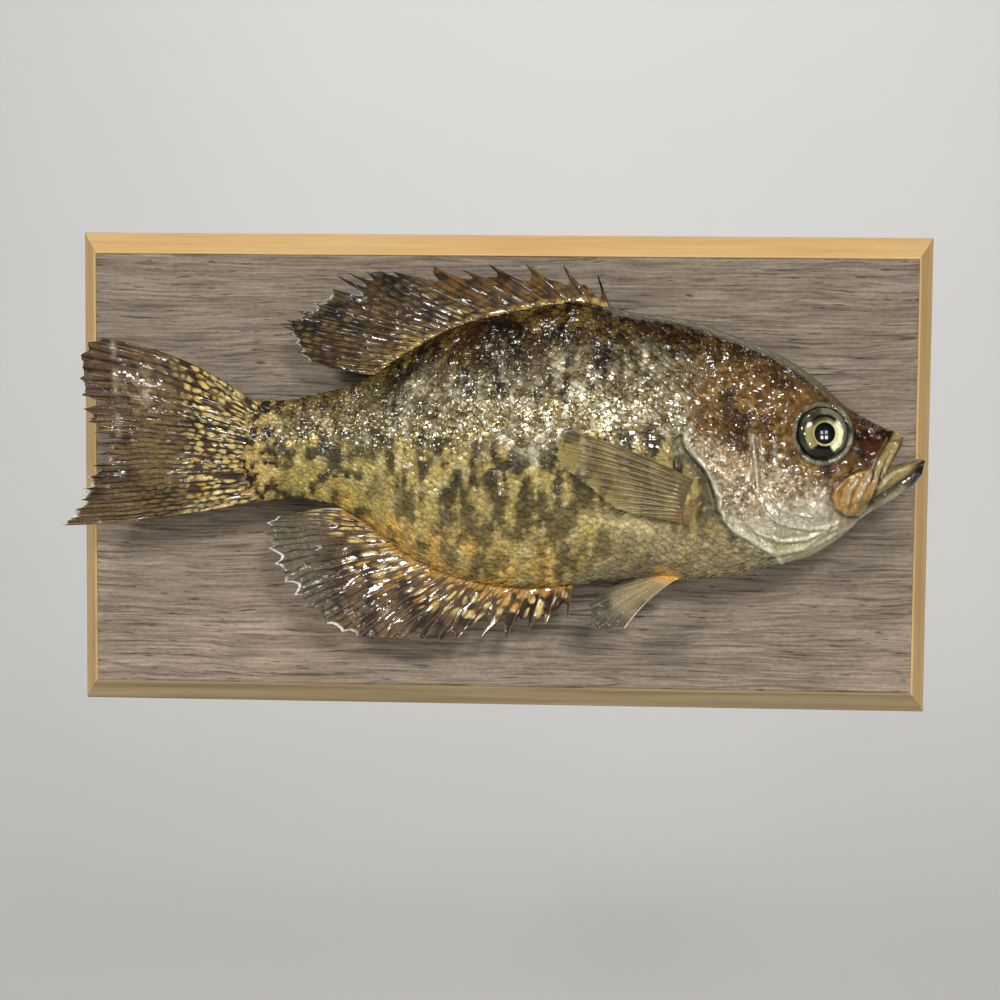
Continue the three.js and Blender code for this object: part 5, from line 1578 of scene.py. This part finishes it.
def pelvic_fins():
    for side, word, start, flare, scale in ((RIGHT, "right", 11.4, 0.7 * PELVIC_FLARE, 1.0),
                                            (LEFT, "left", 11.8, 0.3 * PELVIC_FLARE, LEFT_FIN_SCALE)):
        rays = paired_rays(PELVIC_FEET, PELVIC_MARGIN, PELVIC_RAYS, scale)
        fin_object(f"pelvic_fin_{word}_skin", f"pelvic_fin_{word}", rays,
                   lambda x, z, t: middle_at(x) + side * (start + flare * t), paint_pelvic, 351 + side,
                   ray_half=0.36, web_half=0.18, material=SOFT_FIN)


# ---------------------------------------------------------------- eyes

PUPIL_RADIUS = 4.0
GOLD_RING = 0.5
EYE_RINGS, EYE_TURNS = 56, 120
EYE_WALL, EYE_BACK_SHARE = 1.2, 0.55  # how deep the eye's wall goes at its full radius, and the back's radius
EYE_UP = math.pi / 2
IRIS_SHADE, IRIS_PALE, IRIS_LINE = colour(150, 141, 90), colour(255, 250, 206), colour(84, 76, 38)
# the dark colours of painted reflections in the iris
IRIS_TOP_REFLECTION, IRIS_LOWER_REFLECTION = colour(14, 12, 7), colour(4, 4, 3)
RIM_SHADED, RIM_LIT = colour(50, 50, 36), colour(116, 116, 94)
PUPIL_GOLD, PUPIL_BLACK, PUPIL_CENTRE = colour(198, 180, 112), colour(4, 4, 6), colour(6, 6, 8)
EYE_BACK = colour(40, 38, 30)


def turned_from(turn, direction):
    """The angle between two directions around the eye, from nothing to half a turn."""
    return np.abs(np.angle(np.exp(1j * (turn - direction))))


def eye_colour(radius, turn):
    """Colours of a painted eye at a radius in millimetres; turn is 0 forwards and a quarter turn upwards. The
    dark patch above the pupil and the dark bar below it are painted reflections, and the ring round the iris
    is painted lighter on its lit side.
    """
    around = np.stack([radius * np.cos(turn), radius * np.sin(turn), 0 * radius], axis=-1)
    cloud = noise(around, 2.2, 401)
    fine = noise(around, 0.8, 402)
    # painted reflections: a dark patch above the pupil and a dark bar below it
    top_reflection = smooth_step(1.1 - turned_from(turn, EYE_UP + 0.1), 0, 0.35) * bell(radius - 6.4, 2.1)
    lower_reflection = smooth_step(0.46 + 0.03 * radius - turned_from(turn, -EYE_UP - 0.08), 0, 0.16)
    lower_reflection = lower_reflection * smooth_step(radius, 4.4, 4.8) * smooth_step(9.2 - radius, 0, 0.6)
    # painted light: the ring round the iris lighter towards the front and top, darker behind
    rim = mix(RIM_SHADED, RIM_LIT, smooth_step(np.cos(turn - 0.5) + 0.7 * cloud, -0.6, 0.8))
    return layers(mix(IRIS_SHADE, IRIS_PALE, smooth_step(0.5 * cloud + np.cos(turn + 0.3), -0.7, 0.5)),
                  (IRIS_LINE, 0.45 * bell(radius - 4.95, 0.3) + 0.2 * smooth_step(fine, 0.2, 0.9)),
                  (IRIS_TOP_REFLECTION, top_reflection),
                  (rim, smooth_step(radius + 0.4 * fine, 6.9, 7.7)),
                  (IRIS_LOWER_REFLECTION, lower_reflection),
                  (PUPIL_GOLD, 0.7 * bell(radius - PUPIL_RADIUS - GOLD_RING / 2, GOLD_RING * 0.55)),
                  (PUPIL_BLACK, smooth_step(PUPIL_RADIUS + 0.2 - radius, 0, 0.3)))


def glass_eye(side, word):
    """A painted dome in rings around the eye's axis, with a plain wall and back behind it."""
    turn = np.linspace(0, 2 * math.pi, EYE_TURNS, endpoint=False)
    axis = unit(np.array([math.sin(EYE_TURN_FORWARD), side * math.cos(EYE_TURN_FORWARD),
                          math.sin(EYE_TURN_UP)]))
    forward = unit(np.array([1.0, 0, 0]) - axis * axis[0])
    up = np.cross(axis, forward) * -side
    up = up * np.sign(up[2])
    spokes = np.cos(turn)[:, None] * forward + np.sin(turn)[:, None] * up
    middle = float(value_at(HEAD_ROWS, np.array(EYE_X), MIDDLE))
    centre = np.array([EYE_X, middle + side * EYE_OFF_MIDDLE, EYE_Z])
    radii = EYE_RADIUS * np.sin(np.linspace(0, math.pi / 2, EYE_RINGS + 1)[1:])
    rings = [(radius, EYE_BULGE * math.sqrt(max(1 - (radius / EYE_RADIUS) ** 2, 0))) for radius in radii]
    rings += [(EYE_RADIUS, -EYE_WALL), (EYE_RADIUS * EYE_BACK_SHARE, -EYE_DEPTH)]
    points = np.concatenate([[centre + axis * EYE_BULGE],
                             *(centre + axis * height + radius * spokes for radius, height in rings),
                             [centre - axis * EYE_DEPTH]])
    painted = [eye_colour(np.full(EYE_TURNS, radius), turn) for radius in radii]
    tints = np.concatenate([[PUPIL_CENTRE], *painted, np.tile(EYE_BACK, (2 * EYE_TURNS + 1, 1))])
    quads = ring_faces(len(rings), EYE_TURNS) + 1
    j = np.arange(EYE_TURNS)
    k = (j + 1) % EYE_TURNS
    last = 1 + (len(rings) - 1) * EYE_TURNS
    front = np.stack([0 * j, 1 + k, 1 + j], axis=-1)
    rear = np.stack([0 * j + len(points) - 1, last + j, last + k], axis=-1)
    tris = np.concatenate([front, rear])
    outward = np.cross(points[tris[0, 1]] - points[tris[0, 0]], points[tris[0, 2]] - points[tris[0, 0]])
    if outward @ axis < 0:
        quads, tris = quads[:, ::-1], tris[:, ::-1]
    piece = make_object(f"glass_eye_{word}", points, [quads, tris], EYE, tints)
    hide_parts(f"eye_{word}")


# ---------------------------------------------------------------- the plaque

POCKETS = {  # in the panel's back: width, depth, height, height of the middle
    "hanger_seat": (45.0, 1.3, 10.0, 68.0), "nail_room": (30.0, 7.5, 17.0, 64.0)}
GROOVE_DEPTH, EDGE_WEAR = 0.7, 0.35
PANEL_STEPS = ((1.6, 0.36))  # between the face's points, in X and Z


def grain(x, z):
    """Depth of the weathered grain at a place on the panel's face, 0 to 1."""
    flat = np.stack([x, 0 * x, z], axis=-1)
    wave = z + 1.4 * noise(flat, (70, 1, 26), 501) + 0.35 * noise(flat, (22, 1, 9), 502)
    lines = np.stack([x, 0 * x, wave], axis=-1)
    coarse = noise(lines, (52, 1, 3.2), 503)
    fine = noise(lines, (20, 1, 0.8), 504)
    cracks = bell(noise(lines, (110, 1, 3.4), 505), 0.05) * patches(lines, (40, 1, 6.0), 506, -0.1, 0.5)
    return np.clip(0.3 - 0.12 * coarse - 0.16 * fine + 0.6 * cracks, 0, 1)


def board_panel():
    """The weathered board, its grain worn into its face, with the pockets for the hanger at its back."""
    low, high = (np.array(corner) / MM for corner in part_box("board_panel"))
    xs, zs = (np.linspace(low[k], high[k], round((high[k] - low[k]) / step) + 1)
              for k, step in zip((0, 2), PANEL_STEPS))
    grid_x, grid_z = np.meshgrid(xs, zs, indexing="ij")
    border = np.minimum.reduce([grid_x - low[0], high[0] - grid_x, grid_z - low[2], high[2] - grid_z])
    worn = grain(grid_x, grid_z) * GROOVE_DEPTH + EDGE_WEAR * smooth_step(0.8 - border, 0, 0.8)
    front = np.stack([grid_x, low[1] + 0.05 + worn, grid_z], axis=-1).reshape(-1, 3)
    edge = grid_edge(len(xs), len(zs))
    back = front[edge]
    back[:, 1] = high[1]
    ring = len(front) + np.arange(len(edge))
    walls = np.stack([edge, np.roll(edge, -1), np.roll(ring, -1), ring], axis=-1)
    faces = [*grid_faces(len(xs), len(zs)).tolist(), *walls.tolist(), ring.tolist()]
    panel = solid("board_panel_wood", np.concatenate([front, back]), faces)
    tools = []
    for name, (width, deep, height, middle) in POCKETS.items():
        outline = [(-width / 2, middle - height / 2), (width / 2, middle - height / 2),
                   (width / 2, middle + height / 2), (-width / 2, middle + height / 2)]
        tools.append(prism(name, outline, -deep, 5.0))
        boolean(panel, tools[-1], "DIFFERENCE")
    mesh = apply_modifiers(panel)
    for tool in tools:
        bpy.data.objects.remove(tool)
    points = vertex_rows(mesh, "co") / MM
    on_face = points[:, 1] < low[1] + 2
    set_values(mesh, "groove", np.where(on_face, grain(points[:, 0], points[:, 2]), 0.3))
    mesh.materials.clear()
    mesh.materials.append(weathered_wood())
    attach(panel, "root")
    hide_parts("board_panel")


BOARD_HALF = (165.0, 92.0)
STRIP_WIDTHS = {"long": 8.5, "side": 6.2}
STRIP_FRONT, STRIP_BACK_EDGE = -18.95, -11.2  # Y of the front at the panel and at the outer edge
STRIP_STEP = 2.5
# one pine in lit and shaded copies: painted light on the top and sides, painted shade on the bottom
PINE_TOP_LIT = colour(226, 188, 128), colour(210, 168, 106)
PINE_BOTTOM_SHADED = colour(180, 156, 112), colour(138, 116, 74)
PINE_SIDE_LIT = colour(234, 196, 136), colour(214, 174, 114)
STRIP_GAP = 0.05  # of the mitres


def strip_section(width):
    """A strip's section as (distance out from the panel, Y), from the back at the panel round to the back."""
    slope = [(offset, mix(STRIP_FRONT + 0.35, STRIP_BACK_EDGE - 0.2, (offset - 0.9) / (width - 1.5)))
             for offset in np.linspace(0.9, width - 0.6, 7)]
    return [(0.06, 0.0), (0.06, STRIP_FRONT + 0.6), (0.14, STRIP_FRONT + 0.2), (0.38, STRIP_FRONT),
            *slope, (width - 0.16, STRIP_BACK_EDGE + 0.5), (width, STRIP_BACK_EDGE + 1.1), (width, -0.3),
            (width - 0.3, 0.0)]


def frame_strip(node, turn, material, seed):
    """One mitred strip of the plaque's edging; turn is 0 for the top and counts quarter turns from there."""
    lengthwise = turn % 2 == 0
    width, other = (STRIP_WIDTHS[key] for key in (("long", "side") if lengthwise else ("side", "long")))
    reach, level = BOARD_HALF if lengthwise else BOARD_HALF[::-1]
    section = np.array(strip_section(width))
    offset, depth = section[:, 0], section[:, 1]
    ends = reach - other + offset * other / width - STRIP_GAP
    along = np.linspace(-1, 1, 2 * round(reach / STRIP_STEP) + 1)[:, None] * ends[None]
    out = level - width + np.broadcast_to(offset, along.shape)
    unevenness = noise(np.stack([along, out, 0 * out], axis=-1), (40, 5, 5), seed)
    y = depth + 0.09 * unevenness * ((offset > 0.3) & (depth < -1) & (offset < width - 0.3))
    angle = turn * math.pi / 2
    x = along * math.cos(angle) + out * math.sin(angle)
    z = out * math.cos(angle) - along * math.sin(angle)
    piece = lofted(f"{node}_wood", np.stack([x, y, z], axis=-1))
    piece.data.materials.append(material)
    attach(piece, "root")
    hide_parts(node)


def dress_frame():
    """The edging strips, clockwise from the top, in one pine painted lighter on the top and sides and darker
    on the bottom as painted light and shade, and the CAD's own hanger in plated steel.
    """
    top = edge_wood("edge_wood_top_lit", "X", *PINE_TOP_LIT)
    bottom = edge_wood("edge_wood_bottom_shaded", "X", *PINE_BOTTOM_SHADED)
    upright = edge_wood("edge_wood_side_lit", "Z", *PINE_SIDE_LIT)
    strips = [("frame_top", top), ("frame_right", upright), ("frame_bottom", bottom), ("frame_left", upright)]
    for turn, (node, material) in enumerate(strips):
        frame_strip(node, turn, material, 521 + turn)
    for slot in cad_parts["hanger"].material_slots:
        slot.material = steel()


# ---------------------------------------------------------------- stage, lights and camera

VIEW_AZIMUTH, VIEW_ELEVATION, VIEW_ROLL = math.radians(3.0), math.radians(4.5), math.radians(0.5)
VIEW_DISTANCE = 900.0
VIEW_TARGET = np.array([-0.7, -19.0, -10.5])
LENS_MM = 83.5
FLOOR_Z = -0.36


FLOOR_COLOUR = np.array([0.62, 0.615, 0.6])


def floor_material():
    s = Shader("pale_floor")
    clouds = s.noise(2.2, 2.0, s.place())
    s.set(Base_Color=s.ramp(clouds, [(0.3, FLOOR_COLOUR * 0.97), (0.7, FLOOR_COLOUR)]), Roughness=0.9)
    return s.material


def stage():
    """A pale floor that sweeps up into a backdrop far behind the plaque."""
    half, front, rear, bend, height = 4.0, -4.0, 1.8, 0.9, 4.0
    sweep = [(rear - bend + bend * math.sin(angle), FLOOR_Z + bend - bend * math.cos(angle))
             for angle in np.linspace(0, math.pi / 2, 17)]
    profile = [(front, FLOOR_Z), *sweep, (rear, height)]
    points = [(side * half, y, z) for side in (-1, 1) for y, z in profile]
    mesh = bpy.data.meshes.new("stage")
    mesh.from_pydata(points, [], [face[::-1] for face in grid_faces(2, len(profile)).tolist()])
    mesh.materials.append(floor_material())
    shade_smooth(mesh)
    link_object("stage", mesh)


def area_light(name, place, target, size, power, shade=(1.0, 1.0, 1.0)):
    data = bpy.data.lights.new(name, "AREA")
    data.shape = "RECTANGLE"
    data.size, data.size_y = size
    data.energy = power
    data.color = shade
    lamp = link_object(name, data)
    lamp.location = place
    aim = Vector(target) - Vector(place)
    lamp.rotation_mode = "QUATERNION"
    lamp.rotation_quaternion = aim.to_track_quat("-Z", "Y")


def lights():
    """A lamp overhead, windows and a low lamp in front, a window of four panes that the eye mirrors, and a
    lamp on the backdrop."""
    centre = (0, -0.04, 0)
    area_light("overhead", (-0.1, -0.9, 1.15), centre, (0.16, 0.12), 5.0, (1.0, 0.99, 0.97))
    area_light("window", (0.3, -1.3, 0.5), centre, (0.21, 0.16), 6.7, (1.0, 0.99, 0.98))
    area_light("window_left", (-0.5, -1.2, 0.46), centre, (0.19, 0.15), 6.0, (1.0, 0.98, 0.96))
    area_light("window_low", (0.0, -1.45, 0.16), centre, (0.12, 0.1), 1.4)
    for row in (-1, 1):
        for column in (-1, 1):
            name = f"pane_{(row + 1) // 2}_{(column + 1) // 2}"
            place = (0.88 + 0.055 * column, -1.2 + 0.04 * column, 0.13 + 0.07 * row)
            power = 0.62 if row < 0 else 0.3
            area_light(name, place, (0.12, -0.06, 0.02), (0.08, 0.09), power, (0.92, 0.96, 1.0))
    area_light("low", (0.35, -1.5, -0.24), centre, (0.11, 0.07), 1.2, (1.0, 0.98, 0.95))
    area_light("behind", (0.0, 0.9, 1.2), (0.0, 1.8, 0.0), (2.0, 0.6), 20.0)
    world = bpy.data.worlds.new("studio")
    bpy.context.scene.world = world
    world.use_nodes = True
    background = world.node_tree.nodes["Background"]
    background.inputs["Color"].default_value = (1.0, 0.98, 0.95, 1)
    background.inputs["Strength"].default_value = 0.045


def camera():
    back = np.array([math.sin(VIEW_AZIMUTH) * math.cos(VIEW_ELEVATION),
                     -math.cos(VIEW_AZIMUTH) * math.cos(VIEW_ELEVATION), math.sin(VIEW_ELEVATION)])
    level = np.array([math.cos(VIEW_AZIMUTH), math.sin(VIEW_AZIMUTH), 0.0])
    upright = np.cross(back, level)
    right = math.cos(VIEW_ROLL) * level + math.sin(VIEW_ROLL) * upright
    up = np.cross(back, right)
    data = bpy.data.cameras.new("camera")
    data.sensor_width = 36.0
    data.lens = LENS_MM
    data.clip_start, data.clip_end = 0.01, 30.0
    view = link_object("camera", data)
    place = (VIEW_TARGET + VIEW_DISTANCE * back) * MM
    turn = Matrix([right, up, back]).transposed().to_4x4()
    view.matrix_world = Matrix.Translation(place) @ turn
    bpy.context.scene.camera = view


def main():
    fish_skin()
    fish_scales()
    dorsal_fin()
    anal_fin()
    tail_fin()
    pectoral_fins()
    pelvic_fins()
    glass_eye(RIGHT, "right")
    glass_eye(LEFT, "left")
    board_panel()
    dress_frame()
    stage()
    lights()
    camera()
    scene = bpy.context.scene
    scene.view_settings.view_transform = "Standard"


main()
